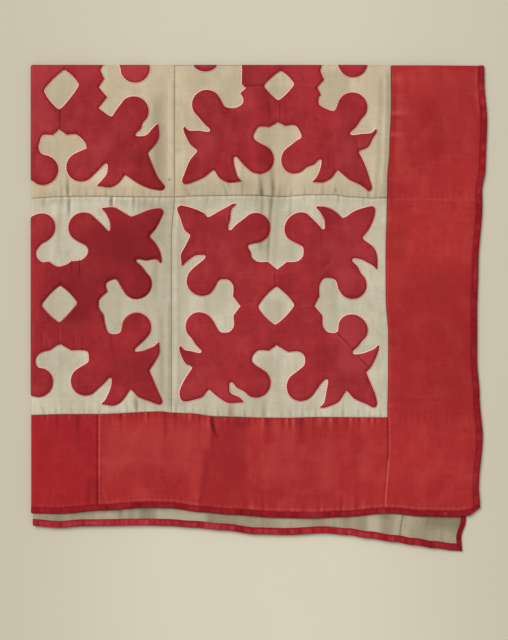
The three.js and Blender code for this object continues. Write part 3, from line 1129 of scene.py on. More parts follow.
def from_quilt_edge(across: np.ndarray, along: np.ndarray) -> np.ndarray:
    """How far each spot lies inside the nearest edge of the quilt."""
    return np.minimum.reduce((across - WIDE[0], WIDE[1] - across, along - LONG[0], LONG[1] - along))


def trimmed(span: tuple[float, float], edges: tuple[float, float]) -> tuple[float, float]:
    """Draws a span in: a little at a seam, and more at the quilt's edge, which the binding covers.

    Args:
        span: where the piece starts and stops on the plan.
        edges: where the whole quilt does.

    Returns:
        Where its cloth starts and stops.
    """
    start, stop = span
    start += CLOTH_END if start == edges[0] else SEAM_GAP
    stop -= CLOTH_END if stop == edges[1] else SEAM_GAP
    return start, stop


def face_height(patch: FacePatch, across: np.ndarray, along: np.ndarray) -> np.ndarray:
    """Height of a patch's face: full inside, rolling down into its seams, with the top layer's relief.

    Args:
        patch: the patch they lie on.
        across: how far across the quilt each spot is.
        along: how far along it each spot is.

    Returns:
        Millimetres for each spot.
    """
    full = BLOCK_FACE if patch.kind is Kind.BLOCK else BORDER_FACE
    away = from_sides(patch, across, along)
    roll = 1 - np.exp(-away / SEAM_ROLL)
    plump = TOP_PLUMP * TOP.shown(across, along) * (1 - np.exp(-away / PLUMP_REACH))
    height = SEAM_FACE + (full - SEAM_FACE) * roll + TOP.height(across, along) * roll + plump
    return np.maximum(height, INNER_FACE + THINNEST)


def seam_tone(patch: FacePatch, across: np.ndarray, along: np.ndarray) -> np.ndarray:
    """The painted shadow that lies in the seams round a patch."""
    return SEAM_DARK * np.exp(-from_sides(patch, across, along) / SEAM_DARK_REACH)


@dataclass
class QuiltFace:
    """The blocks and borders of the face, sewn edge to edge."""

    blocks: tuple[FacePatch, ...] = field(init=False)
    borders: tuple[FacePatch, ...] = field(init=False)

    def __post_init__(self) -> None:
        """Lays out the patches."""
        columns = (
            ("left", Across.LEFT_SEAM, Across.MIDDLE_LEFT_SEAM),
            ("middle", Across.MIDDLE_LEFT_SEAM, Across.MIDDLE_RIGHT_SEAM),
            ("right", Across.MIDDLE_RIGHT_SEAM, Across.RIGHT_SEAM),
        )
        rows = (
            ("foot", Along.FOOT_SEAM, Along.LOW_ROW_SEAM, Finishes.CREAM_GREY),
            ("middle", Along.LOW_ROW_SEAM, Along.HIGH_ROW_SEAM, Finishes.CREAM_OLIVE),
            ("head", Along.HIGH_ROW_SEAM, Along.HEAD_SEAM, Finishes.CREAM_GREY),
        )
        self.blocks = tuple(
            FacePatch(f"block_{end}_{side}", Kind.BLOCK, cotton, (a, b), (c, d))
            for end, c, d, cotton in rows
            for side, a, b in columns
        )
        red, old = Finishes.BORDER, Finishes.BORDER_OLD
        foot, head = (Along.FOOT_EDGE, Along.FOOT_SEAM), (Along.HEAD_SEAM, Along.HEAD_EDGE)
        self.borders = (
            FacePatch("border_right", Kind.BORDER, red, (Across.RIGHT_SEAM, Across.RIGHT_EDGE), LONG),
            FacePatch("border_left", Kind.BORDER, red, (Across.LEFT_EDGE, Across.LEFT_SEAM), LONG),
            FacePatch("border_foot_long", Kind.BORDER, red, (Across.FOOT_JOIN, Across.RIGHT_SEAM), foot),
            FacePatch("border_foot_turned", Kind.BORDER, old, (Across.LEFT_SEAM, Across.FOOT_JOIN), foot),
            FacePatch("border_head", Kind.BORDER, red, (Across.LEFT_SEAM, Across.RIGHT_SEAM), head),
        )

    def build(self) -> None:
        """Makes every patch of the face."""
        for patch in (*self.blocks, *self.borders):
            self.sew(patch)

    def sew(self, patch: FacePatch) -> None:
        """Makes one patch and hides the CAD part that it stands in for.

        Args:
            patch: the patch.
        """
        sides, ends = trimmed(patch.across, WIDE), trimmed(patch.along, LONG)
        columns = BACK_COLUMNS if ends[0] > Along.FOLD else COLUMNS
        piece = Piece(patch.name + "_cloth", slab(columns.between(*sides), ROWS.between(*ends)))
        across, along, level = piece.flat.T
        face = face_height(patch, across, along)
        face = np.where(from_quilt_edge(across, along) < BOUND_FRONT, np.minimum(face, BOUND_FACE), face)
        tone = TOP.tone(across, along) + seam_tone(patch, across, along)
        made = piece.finish(np.where(level > 0.5, face, INNER_FACE), tone, patch.cotton)
        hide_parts(patch.name)


@dataclass
class Backing:
    """The backing: a wide panel and a narrow one."""

    outer: float = -1.5
    slant: float = -14.0
    slant_length: float = 100.0
    slant_reach: float = 120.0
    # Painted shadow in the seam and along the panel's sides.
    seam_dark: float = -1.3
    seam_dark_reach: float = 1.2
    # Patches on the strip of backing that shows: those that run from along 1000 or 1010 are painted shadow
    # cast by the hem of the folded layer above; the rest are darker and paler bands across the strip.
    patches: tuple[Patch, ...] = patches(
        (30, 128, 1030, 1130, -0.05, 12), (150, 207, 1030, 1130, 0.35, 10),
        (221, 229, 1030, 1130, -0.5, 5), (270, 301, 1030, 1130, -0.5, 8),
        (312, 430, 1030, 1130, 0.55, 12), (440, 482, 1030, 1130, -0.2, 12),
        (592, 668, 1030, 1130, 0.2, 16), (742, 762, 1030, 1130, -0.3, 8), (772, 795, 1030, 1130, -0.3, 6),
        (801, 832, 1030, 1130, 0.65, 7), (839, 862, 1030, 1130, -0.25, 8),
        (898, 918, 1030, 1130, 0.3, 10), (955, 1070, 1010, 1056, -0.6, 12),
        (100, 230, 1000, 1074, -0.5, 7), (230, 420, 1000, 1070, -0.25, 7),
        (420, 640, 1000, 1064, -0.4, 7), (690, 760, 1000, 1064, -0.35, 8),
        (800, 850, 1000, 1052, -0.5, 8), (868, 888, 1030, 1130, 0.4, 8),
    )  # fmt: skip

    def build(self) -> None:
        """Makes both panels."""
        self.sew("backing_wide", (Across.LEFT_EDGE, Across.BACKING_SEAM))
        self.sew("backing_narrow", (Across.BACKING_SEAM, Across.RIGHT_EDGE))

    def sew(self, name: str, across: tuple[float, float]) -> None:
        """Makes one panel, which is as long as the quilt.

        Args:
            name: its name in the CAD part.
            across: where it starts and stops across the quilt.
        """
        columns, rows = BACK_COLUMNS.between(*trimmed(across, WIDE)), BACK_ROWS.between(*trimmed(LONG, LONG))
        piece = Piece(name + "_cloth", slab(columns, rows))
        u, v, level = piece.flat.T.copy()
        toward = smooth(v, Along.HEAD_EDGE - self.slant_length, Along.HEAD_EDGE - BINDING_WIDTH)
        near = np.clip(1 - np.abs(u - Across.BACKING_SEAM) / self.slant_reach, 0, 1)
        piece.flat[:, 0] = u + self.slant * toward * near
        edge = np.clip(np.minimum(u - across[0], across[1] - u), 0, None)
        outer = -BOUND_FACE + (self.outer + BOUND_FACE) * (1 - np.exp(-edge / SEAM_ROLL))
        outer = np.where(from_quilt_edge(u, v) < BOUND_BACK, -BOUND_FACE, outer)
        tone = self.seam_dark * np.exp(-edge / self.seam_dark_reach)
        for patch in self.patches:
            tone += patch.tone(u, v)
        made = piece.finish(np.where(level > 0.5, -INNER_FACE, outer), tone, Finishes.BACKING)
        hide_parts(name)


# ---- The oak leaf motif --------------------------------------------------------------------------


@dataclass(frozen=True)
class Knot:
    """A point of the half leaf's outline: sideways from the motif's axis and outwards from its middle."""

    part: str
    side: float
    out: float
    corner: bool = False


def make_knots(*rows: tuple) -> tuple[Knot, ...]:
    """Makes knots from rows of their part, side and out, and True at a corner."""
    return tuple(Knot(*row) for row in rows)


LOBE_ANGLES = (246, 216, 186, 156, 126, 96, 66, 38)
LOBE_MIDDLE = (0.203, 0.716)
LOBE_RADIUS = 0.138
BAY: tuple[Knot, ...] = make_knots(
    ("crown", 0.088, 0.412, True), ("crown", 0.180, 0.410), ("bay", 0.232, 0.445), ("bay", 0.244, 0.495),
    ("neck", 0.232, 0.542),
)  # fmt: skip
LOBE: tuple[Knot, ...] = tuple(
    Knot(
        "lobe",
        LOBE_MIDDLE[0] + LOBE_RADIUS * math.cos(math.radians(a)),
        LOBE_MIDDLE[1] + LOBE_RADIUS * math.sin(math.radians(a)),
    )
    for a in LOBE_ANGLES
)
POINTS: tuple[Knot, ...] = make_knots(
    ("slit", 0.375, 0.748), ("slit", 0.418, 0.702), ("slit", 0.440, 0.704), ("slit", 0.443, 0.738),
    ("slit", 0.432, 0.795), ("point", 0.400, 0.860), ("point", 0.363, 0.903), ("point", 0.395, 0.912),
    ("belly", 0.470, 0.896), ("belly", 0.548, 0.855), ("notch", 0.592, 0.815), ("notch", 0.612, 0.815),
    ("flank", 0.700, 0.868), ("flank", 0.805, 0.912), ("tip", 0.897, 0.933),
)  # fmt: skip
PEAK = Knot("peak", 0.0, 0.345, True)
Shift = dict[str, tuple[float, float]]
Rows = tuple[tuple[float, ...], ...]
THOUSAND = 1000


def strays(**parts: tuple[int, int]) -> Shift:
    """Makes a shift from how far each part strays, in thousandths of a half block."""
    return {part: (side / THOUSAND, out / THOUSAND) for part, (side, out) in parts.items()}


def curve(*rows: tuple[int, ...]) -> Rows:
    """Makes rows of a line's spots, in half blocks, from thousandths; a row's third number marks a corner."""
    return tuple((side / THOUSAND, out / THOUSAND, *corner) for side, out, *corner in rows)


@dataclass(frozen=True)
class Motif:
    """One cut of four oak leaves, with how far each part of it strays from the even shape."""

    block: str
    middle: tuple[float, float]
    shifts: dict[str, Shift] = field(default_factory=dict)
    crowns: dict[str, Rows] = field(default_factory=dict)
    hole: Rows = ((0.173, 0.0), (0.0, 0.173), (-0.173, 0.0), (0.0, -0.173))
    half: float = 259.2
    tip_width: float = 0.045
    tip_back: float = 0.010
    rim: float = 1.9
    samples: int = 4
    least: float = 1.35

    def half_leaf(self, bay: str, toward: str) -> list[tuple[float, float, bool]]:
        """The knots of one half leaf, from its bay's peak to its tip.

        Args:
            bay: the letter of the bay it starts from: N, E, S or W.
            toward: the letter of the side it goes to.

        Returns:
            Rows of across, along and whether the outline turns sharply there, in half blocks.
        """
        ways = {"N": (0, 1), "E": (1, 0), "S": (0, -1), "W": (-1, 0)}
        (ox, oy), (sx, sy) = ways[bay], ways[toward]
        shift = self.shifts.get(bay + toward, {})
        crown = tuple(Knot("", row[0], row[1], len(row) > 2) for row in self.crowns.get(bay + toward, ()))
        rows = []
        for knot in (PEAK, *(crown or BAY), *LOBE, *POINTS):
            by_side, by_out = shift.get(knot.part, (0, 0))
            side, out = knot.side + by_side, knot.out + by_out
            rows.append((side * sx + out * ox, side * sy + out * oy, knot.corner))
        return rows

    def knots(self) -> list[tuple[float, float, bool]]:
        """All the knots, clockwise from the N bay's peak.

        Returns:
            Rows of across, along and whether the outline turns sharply there, in half blocks.
        """
        rows: list[tuple[float, float, bool]] = []
        for bay, toward in ("NE", "ES", "SW", "WN"):
            first, second = self.half_leaf(bay, toward), self.half_leaf(toward, bay)[:0:-1]
            first[-1], second[0] = self.round_tip(np.array(first[-1][:2]), np.array(second[0][:2]))
            rows += first + second
        return rows

    def round_tip(self, first: np.ndarray, second: np.ndarray) -> tuple[tuple[float, float, bool], ...]:
        """Spreads the two knots of a leaf's tip, clockwise, so that the tip comes out round.

        Args:
            first: the first knot.
            second: the second knot.

        Returns:
            The two knots, moved apart.
        """
        middle = (first + second) / 2
        outward = np.sign(middle) / math.sqrt(2)
        aside = np.array((outward[1], -outward[0]))
        half = max(self.tip_width, float((second - first) @ aside)) / 2
        seat = middle - self.tip_back * outward
        return tuple((float(x), float(y), False) for x, y in (seat - half * aside, seat + half * aside))

    def outline(self) -> list[tuple[float, float]]:
        """The cut edge as a smooth line with sharp corners, in flat millimetres.

        Returns:
            The line's spots, clockwise.
        """
        knots = self.knots()
        count = len(knots)
        points = []
        for i, (x, y, corner) in enumerate(knots):
            nx, ny, next_corner = knots[(i + 1) % count]
            px, py, _ = knots[i - 1]
            fx, fy, _ = knots[(i + 2) % count]
            here, there = np.array((x, y)), np.array((nx, ny))
            step = there - here
            leave = step if corner else (there - np.array((px, py))) / 2
            arrive = step if next_corner else (np.array((fx, fy)) - here) / 2
            reach = np.linalg.norm(step)
            leave = leave * min(1.0, reach / max(np.linalg.norm(leave), 1e-6))
            arrive = arrive * min(1.0, reach / max(np.linalg.norm(arrive), 1e-6))
            for k in range(self.samples):
                t = k / self.samples
                h00, h10 = 2 * t**3 - 3 * t**2 + 1, t**3 - 2 * t**2 + t
                h01, h11 = -2 * t**3 + 3 * t**2, t**3 - t**2
                points.append(h00 * here + h10 * leave + h01 * there + h11 * arrive)
        kept: list[tuple[float, float]] = []
        for spot in (self.to_flat(p[0], p[1]) for p in points):
            if not kept or min(math.dist(spot, kept[-1]), math.dist(spot, kept[0])) > self.least:
                kept.append(spot)
        return self.grown(kept)

    def grown(self, loop: list[tuple[float, float]]) -> list[tuple[float, float]]:
        """A closed line with the cloth on its right, moved off the cloth by the rim of its turned edge.

        Args:
            loop: the line's spots.

        Returns:
            The moved spots.
        """
        moved = []
        for i, (x, y) in enumerate(loop):
            (ax, ay), (bx, by) = loop[i - 1], loop[(i + 1) % len(loop)]
            reach = math.hypot(bx - ax, by - ay)
            moved.append((x - self.rim * (by - ay) / reach, y + self.rim * (bx - ax) / reach))
        return moved

    def diamond(self) -> list[tuple[float, float]]:
        """The hole in the middle: four bowed sides with soft corners, anticlockwise, in flat millimetres.

        Returns:
            The line's spots.
        """
        points = []
        for (ax, ay), (bx, by) in zip(self.hole, self.hole[1:] + self.hole[:1]):
            for k in range(8):
                t = 0.06 + 0.88 * k / 7
                bow = 1 + 0.10 * math.sin(math.pi * t)
                points.append(self.to_flat((ax + (bx - ax) * t) * bow, (ay + (by - ay) * t) * bow))
        return self.grown(points)

    def to_flat(self, x: float, y: float) -> tuple[float, float]:
        """From half blocks to flat millimetres."""
        return self.middle[0] + self.half * x, self.middle[1] + self.half * y


def along_line(loop: list[tuple[float, float]], pitch: float) -> list[tuple[float, float, float, float]]:
    """Places evenly spaced along a closed line.

    Args:
        loop: the line's points, clockwise.
        pitch: how far apart the places are.

    Returns:
        Rows of across, along and the direction square to the line, to its right.
    """
    corners = np.array(loop + loop[:1])
    steps = np.diff(corners, axis=0)
    lengths = np.hypot(*steps.T)
    reach = np.concatenate([[0], np.cumsum(lengths)])
    places = []
    for at in np.arange(pitch / 2, reach[-1], pitch):
        i = int(np.searchsorted(reach, at, side="right")) - 1
        x, y = corners[i] + steps[i] * (at - reach[i]) / lengths[i]
        dx, dy = steps[i] / lengths[i]
        places.append((x, y, dy, -dx))
    return places


STITCH_PITCH = 7.0


class StitchRow:
    """Small stitches of thread, one at each place, joined in one mesh."""

    thread: float = 0.28
    reach: float = 1.1
    slant: float = 0.45
    bow: float = 0.18

    def __init__(self, name: str, places: list[tuple[float, float, float, float]]) -> None:
        """Makes a stitch and copies it to every place.

        Args:
            name: the row's name.
            places: where along_line puts the stitches.
        """
        bm = bmesh.new()
        turn = Matrix.Rotation(math.pi / 2, 3, "Y")
        bmesh.ops.create_cone(
            bm, cap_ends=True, segments=4, radius1=self.thread, radius2=self.thread, depth=2 * self.reach
        )
        bmesh.ops.rotate(bm, verts=bm.verts[:], cent=(0, 0, 0), matrix=turn)
        for v in bm.verts:
            v.co.z -= self.bow * v.co.x**2
        keys = bm.verts.layers.int.new("place")
        made = 1
        while made < len(places):
            some = [v for v in bm.verts if v[keys] < len(places) - made]
            faces = [f for f in bm.faces if f.verts[0][keys] < len(places) - made]
            edges = [e for e in bm.edges if e.verts[0][keys] < len(places) - made]
            copied = bmesh.ops.duplicate(bm, geom=some + edges + faces)["geom"]
            for v in copied:
                if isinstance(v, bmesh.types.BMVert):
                    v[keys] += made
            made = min(2 * made, len(places))
        which = np.array([v[keys] for v in bm.verts])
        self.piece = Piece(name, bm)
        self.local = self.piece.flat.copy()
        self.places = np.array(places)[which]

    def spots(self) -> tuple[np.ndarray, np.ndarray, np.ndarray, np.ndarray]:
        """Lays the stitches flat.

        Returns:
            For every vertex: across, along, its height in its stitch, and how far right of the line it is.
        """
        x, y, right_x, right_y = self.places.T
        over, beside, lift = self.local.T
        beside = beside + self.slant * over
        across = x + over * right_x - beside * right_y
        along = y + over * right_y + beside * right_x
        self.piece.flat[:, 0], self.piece.flat[:, 1] = across, along
        return across, along, lift, over


def from_lines(
    loops: list[list[tuple[float, float]]], x: np.ndarray, y: np.ndarray
) -> tuple[np.ndarray, np.ndarray]:
    """Finds the nearest of some closed lines that have the cloth on their right.

    Args:
        loops: the closed lines.
        x: where the spots are, across.
        y: where the spots are, along.

    Returns:
        How far each spot lies from the nearest line, and how much that line faces away from the key light.
    """
    nearest, facing = np.full_like(x, np.inf), np.zeros_like(x)
    for loop in loops:
        for (ax, ay), (bx, by) in zip(loop, loop[1:] + loop[:1]):
            dx, dy = bx - ax, by - ay
            share = np.clip(((x - ax) * dx + (y - ay) * dy) / (dx * dx + dy * dy), 0, 1)
            away = (x - ax - share * dx) ** 2 + (y - ay - share * dy) ** 2
            facing = np.where(away < nearest, -(dx + dy) / math.hypot(dx, dy) / math.sqrt(2), facing)
            nearest = np.minimum(nearest, away)
    return np.sqrt(nearest), facing


@dataclass(frozen=True)
class Applique:
    """The red leaves sewn on a block: a thin cloth with its edge turned under."""

    motif: Motif
    creases: tuple[Crease, ...] = ()
    spacing: float = 20.0
    rise: float = 1.1
    pillow: float = 0.5
    pillow_reach: float = 5.0
    patches: tuple[Patch, ...] = ()
    # Painted shade along the leaves' edge, darker where it faces away from the key light, and a painted
    # highlight on the turned rim, paler where it faces the light.
    edge_dark: tuple[float, float] = (0.85, 1.0)
    dark_middle: float = 2.7
    dark_width: float = 2.4
    rim_highlight: tuple[float, float] = (1.8, -0.3)
    rim: float = 2.1
    turned: tuple[float, ...] = (1.2, 0.6, 1.3, 1.9)
    turned_share: tuple[float, ...] = (0.0, 0.8, 1.0, 1.0, 1.0)
    bedded: float = 0.12
    straight: float = 1e-3
    crease_side: float = 1.6
    clear: float = 0.06
    thinnest: float = 0.1
    top_share: float = 0.4
    # How much crease height turns into tone: painted shade in the leaves' creases, painted highlight on their
    # ridges.
    crease_tone: float = 1.2
    cloth_share: float = 0.95
    stitch_climb: tuple[float, float] = (-0.7, 0.9)
    stitch_clear: float = 0.15

    def cut(self) -> tuple[bmesh.types.BMesh, float]:
        """Cuts the cloth flat.

        Returns:
            The flat mesh, its height 0 at the cut edge and up to 1 inside, and its area in square metres.
        """
        bm = bmesh.new()
        inside = bm.faces.layers.int.new("inside")
        for points in (self.motif.outline(), self.motif.diamond()):
            self.loop(bm, points)
        bmesh.ops.triangle_fill(bm, use_beauty=True, edges=bm.edges[:], normal=(0, 0, 1))
        area = sum(f.calc_area() for f in bm.faces) * MM**2
        inner = bm.faces[:]
        for width, share in zip(self.turned, self.turned_share[1:]):
            bmesh.ops.inset_region(bm, faces=inner, thickness=width, use_even_offset=False, use_boundary=True)
            for v in {v for f in inner for v in f.verts}:
                v.co.z = share
        for f in inner:
            f[inside] = 1
        self.rule(bm)
        return bm, area

    def loop(self, bm: bmesh.types.BMesh, points: list[tuple[float, float]]) -> None:
        """Adds a closed line.

        Args:
            bm: the mesh.
            points: the line's points.
        """
        verts = [bm.verts.new((x, y, 0)) for x, y in points]
        for a, b in zip(verts, verts[1:] + verts[:1]):
            bm.edges.new((a, b))

    def split(self, bm: bmesh.types.BMesh, spot: tuple[float, float], way: tuple[float, float]) -> None:
        """Cuts the faces along the line through a spot, square to the way given."""
        geom = bm.verts[:] + bm.edges[:] + bm.faces[:]
        bmesh.ops.bisect_plane(bm, geom=geom, dist=1e-4, plane_co=(*spot, 0), plane_no=(*way, 0))

    def rule(self, bm: bmesh.types.BMesh) -> None:
        """Cuts the faces along the ground's own lines and along the creases, so that they can bend there.

        Args:
            bm: the flat cloth, its edge inset.
        """
        for axis, lines in ((0, COLUMNS), (1, ROWS)):
            low = min(v.co[axis] for v in bm.verts) + 1
            high = max(v.co[axis] for v in bm.verts) - 1
            last = low - self.spacing
            for line in lines.between(low - 50, high + 50):
                if low < line < high and (abs(line) < 10 or line - last > self.spacing):
                    last = line
                    self.split(bm, (line, line), (1 - axis, axis))
        inside = bm.faces.layers.int["inside"]
        inner = [e for e in bm.edges if all(f[inside] for f in e.link_faces)]
        slanted = [e for e in inner if min(map(abs, (e.verts[0].co - e.verts[1].co)[:2])) > self.straight]
        bmesh.ops.dissolve_edges(bm, edges=slanted, use_verts=True)
        for crease in self.creases:
            (a, b), (c, d) = crease.start, crease.end
            way = ((d - b) / crease.length, (a - c) / crease.length)
            for off in (-self.crease_side, 0.0, self.crease_side):
                self.split(bm, (a + off * way[0], b + off * way[1]), way)

    def sew(self, patch: FacePatch) -> None:
        """Lays the leaves on their block.

        Args:
            patch: the block.
        """
        bm, area = self.cut()
        close_slab(bm)
        piece = Piece(f"leaves_{self.motif.block}", bm)
        across, along, level = piece.flat.T
        away, facing = from_lines([self.motif.outline(), self.motif.diamond()], across, along)
        ground = face_height(patch, across, along)
        creased = np.zeros_like(across)
        for crease in self.creases:
            creased += crease.height(across, along)
        puffed = self.pillow * (1 - np.exp(-away / self.pillow_reach))
        top = ground + np.clip(level - 1, 0, 1) * self.rise + puffed + self.clear
        top = np.maximum(top + creased * np.clip(away / 2, 0, 1), ground + self.thinnest)
        heights = np.where(level > 0.5, top, ground - self.bedded)
        # Painted shade inside the edge, stronger where the edge faces away from the key light.
        dark = self.edge_dark[0] + self.edge_dark[1] * facing
        inside = smooth(away, self.rim, self.rim + 0.6)
        by_edge = np.exp(-(((away - self.dark_middle) / self.dark_width) ** 2))
        tone = self.top_share * TOP.tone(across, along) + self.crease_tone * creased - dark * inside * by_edge
        for mark in self.patches:
            tone += mark.tone(across, along)
        # A painted highlight on the rim, paler where the edge faces the key light.
        tone += (self.rim_highlight[0] + self.rim_highlight[1] * facing) * (1 - inside)
        laid = piece.finish(heights, tone, Finishes.LEAF)
        stitches = self.stitch(patch)

    def stitch(self, patch: FacePatch) -> bpy.types.Object:
        """Sews the leaves' edge down with small stitches.

        Args:
            patch: the block.

        Returns:
            The stitches.
        """
        places = []
        for loop in (self.motif.outline(), self.motif.diamond()):
            places += along_line(loop, STITCH_PITCH)
        row = StitchRow(f"stitches_{self.motif.block}", places)
        across, along, lift, inward = row.spots()
        ground = face_height(patch, across, along)
        heights = ground + self.rise * smooth(inward, *self.stitch_climb) + self.stitch_clear + lift
        laid = row.piece.finish(heights, np.zeros_like(across), Finishes.THREAD)
        return laid


@dataclass
class Leaves:
    """The nine motifs."""

    face: QuiltFace
    fine: float = 5.0
    plain_turned: tuple[float, ...] = (1.2, 0.6)

    def motifs(self) -> tuple[Motif, ...]:
        """Every block's cut.

        Returns:
            The motifs, in the blocks' order.
        """
        return tuple(
            Motif(
                patch.name,
                MIDDLES.get(patch.name, (sum(patch.across) / 2, sum(patch.along) / 2)),
                CUTS.get(patch.name, {}),
                CROWNS.get(patch.name, {}),
                HOLES.get(patch.name, Motif.hole),
                samples=4 if patch.name in LEAF_CREASES else 3,
            )
            for patch in self.face.blocks
        )

    def build(self) -> None:
        """Makes and sews every motif."""
        for motif, patch in zip(self.motifs(), self.face.blocks):
            if patch.name in LEAF_CREASES:
                leaves = Applique(motif, LEAF_CREASES[patch.name], self.fine, patches=LEAF_PATCHES)
            else:
                leaves = Applique(motif, turned=self.plain_turned)
            leaves.sew(patch)


# Darker and paler patches on the leaves, matched spot by spot: partly painted shade of soft wrinkles, partly
# the cloth's own uneven colour.
LEAF_PATCHES: tuple[Patch, ...] = patches(
    (160, 192, -580, -530, 0.4, 10), (300, 322, -735, -695, 0.3, 8), (368, 398, -520, -480, 0.3, 10),
    (498, 522, -262, -225, -0.3, 8), (440, 490, -250, -200, -0.2, 12), (575, 600, -133, -97, 0.25, 8),
    (472, 494, -116, -84, 0.25, 8), (728, 746, -255, -215, 0.3, 8), (180, 320, -600, -350, -0.55, 45),
    (35, 190, -610, -490, -0.7, 34), (90, 170, -440, -350, -0.25, 15), (190, 290, -770, -665, -0.45, 18),
    (240, 340, -310, -205, -0.5, 20), (-20, 50, -190, 20, 0.4, 20), (200, 290, -50, 20, 0.45, 10),
    (400, 440, -30, 20, 0.35, 10), (465, 495, -290, -250, -0.5, 12), (690, 715, -240, -155, -0.4, 14),
    (715, 760, -115, -60, -0.35, 14), (540, 576, -245, -190, -0.5, 12), (780, 830, -245, -170, 0.25, 14),
    (490, 530, -110, -60, 0.3, 14), (740, 850, -735, -650, 0.4, 20), (355, 410, -830, -755, 0.35, 18),
    (460, 520, -830, -765, 0.25, 14), (730, 800, -515, -425, 0.2, 20), (765, 830, -415, -360, 0.2, 15),
    (700, 750, -390, -335, -0.5, 12), (330, 390, -425, -325, 0.2, 15), (440, 492, -365, -335, 0.3, 10),
    (515, 576, -400, -360, -0.25, 12), (120, 250, -470, -395, -0.35, 22), (75, 140, -650, -585, -0.4, 20),
    (205, 262, -635, -570, -0.4, 16), (270, 300, -640, -590, 0.25, 8), (130, 185, -705, -660, -0.3, 14),
    (455, 490, -155, -110, -0.35, 12), (230, 270, -120, -75, -0.35, 14), (205, 250, -235, -170, -0.4, 18),
    (490, 515, -230, -180, -0.45, 12), (650, 690, -160, -110, -0.25, 14),
    (545, 580, -120, -70, -0.25, 12), (10, 175, -275, -185, 0.12, 18), (165, 200, -205, -160, 0.25, 12),
    (10, 60, -400, -350, 0.35, 14), (155, 195, -560, -500, 0.25, 12), (70, 125, -500, -455, -0.3, 14),
    (40, 75, -560, -525, 0.3, 12), (145, 190, -605, -575, 0.3, 10), (10, 340, -290, 20, 0.12, 16),
    (385, 860, -290, 20, 0.12, 16), (400, 830, -825, -340, 0.1, 16), (400, 440, -215, -165, 0.35, 14),
    (748, 770, -235, -180, 0.3, 10), (380, 415, -480, -435, 0.35, 12), (735, 780, -545, -490, 0.3, 14),
    (615, 655, -370, -330, 0.25, 12), (720, 790, -655, -590, 0.35, 18), (420, 470, -810, -760, 0.35, 14),
    (700, 735, -825, -780, 0.3, 12), (215, 275, -705, -668, 0.3, 12), (600, 650, -545, -490, -0.4, 14),
    (505, 580, -740, -690, -0.3, 14), (680, 735, -730, -670, -0.25, 14),
)  # fmt: skip


LEAF_CREASES: dict[str, tuple[Crease, ...]] = {
    "block_middle_middle": creases(
        (70.8, -96, 70.4, -160, -1.4, 1.6), (80, -12, 81, 4, -0.5, 1.6), (116, -48, 166, -52, -0.4, 1.6),
        (106, -268, 124, -244, 0.5, 2), (244, -184, 252, -204, 0.5, 1.8),
        (208, -250, 216, -264, 0.5, 1.8), (262, -205, 258, -262, -0.5, 4),
        (284, -178, 290, -200, 0.4, 1.8), (225, -105, 252, -120, 0.4, 3),
    ),  # fmt: skip
    "block_middle_right": creases(
        (592.8, -80, 592.8, -142, -1.5, 1.6), (508, -51, 562, -48, -0.9, 1.6),
        (634, -45, 688, -50, 0.5, 1.6), (597, 0, 597, -18, -0.5, 1.6), (563, -74, 570, -144, -0.6, 4),
        (578, -66, 586, -86, 0.5, 2), (618, -62, 632, -78, 0.6, 1.8), (614, -110, 624, -122, 0.5, 1.8),
        (676, -118, 698, -132, 0.5, 2), (782, -172, 788, -205, 0.5, 2), (700, -220, 712, -252, 0.4, 3),
    ),  # fmt: skip
    "block_foot_right": creases(
        (590, -486, 590, -530, -1.1, 1.6), (640, -577, 690, -577, 0.6, 1.6),
        (535, -578, 494, -570, 0.4, 1.6), (728, -632, 772, -676, -1.4, 1.8),
        (786, -694, 818, -726, -1.3, 1.8), (772, -474, 790, -492, -0.9, 1.6),
        (700, -500, 740, -468, 0.4, 3), (646, -376, 684, -380, 0.4, 2), (470, -362, 478, -390, 0.5, 2),
    ),  # fmt: skip
    "block_foot_middle": creases(
        (69.6, -484, 69.6, -530, -0.4, 1.4), (72.5, -618, 72.5, -680, 0.7, 1.6),
        (7, -610, 8, -668, 0.6, 2), (99, -462, 100, -500, -0.8, 2), (118, -458, 119, -512, -0.9, 2),
        (196, -646, 196, -676, -0.5, 3), (25, -640, 26, -668, -0.7, 1.8), (39, -650, 40, -684, -0.9, 1.8),
        (105, -648, 106, -684, -0.9, 1.8), (124, -652, 125, -690, -0.9, 1.8),
    ),  # fmt: skip
}
MIDDLES = {
    "block_foot_right": (596.0, -577.0),
    "block_foot_middle": (69.5, -573.5),
    "block_middle_right": (589.5, -48.0),
    "block_middle_middle": (72.3, -57.5),
}
HOLES: dict[str, Rows] = {
    "block_foot_right": curve((160, 14), (-6, 190), (-181, -3), (-28, -164)),
    "block_foot_middle": curve((172, 10), (8, 175), (-170, -2), (-2, -175)),
    "block_middle_middle": curve((163, 38), (26, 178), (-160, -12), (-18, -192)),
    "block_middle_right": curve((143, 10), (20, 132), (-136, -6), (-3, -142)),
}
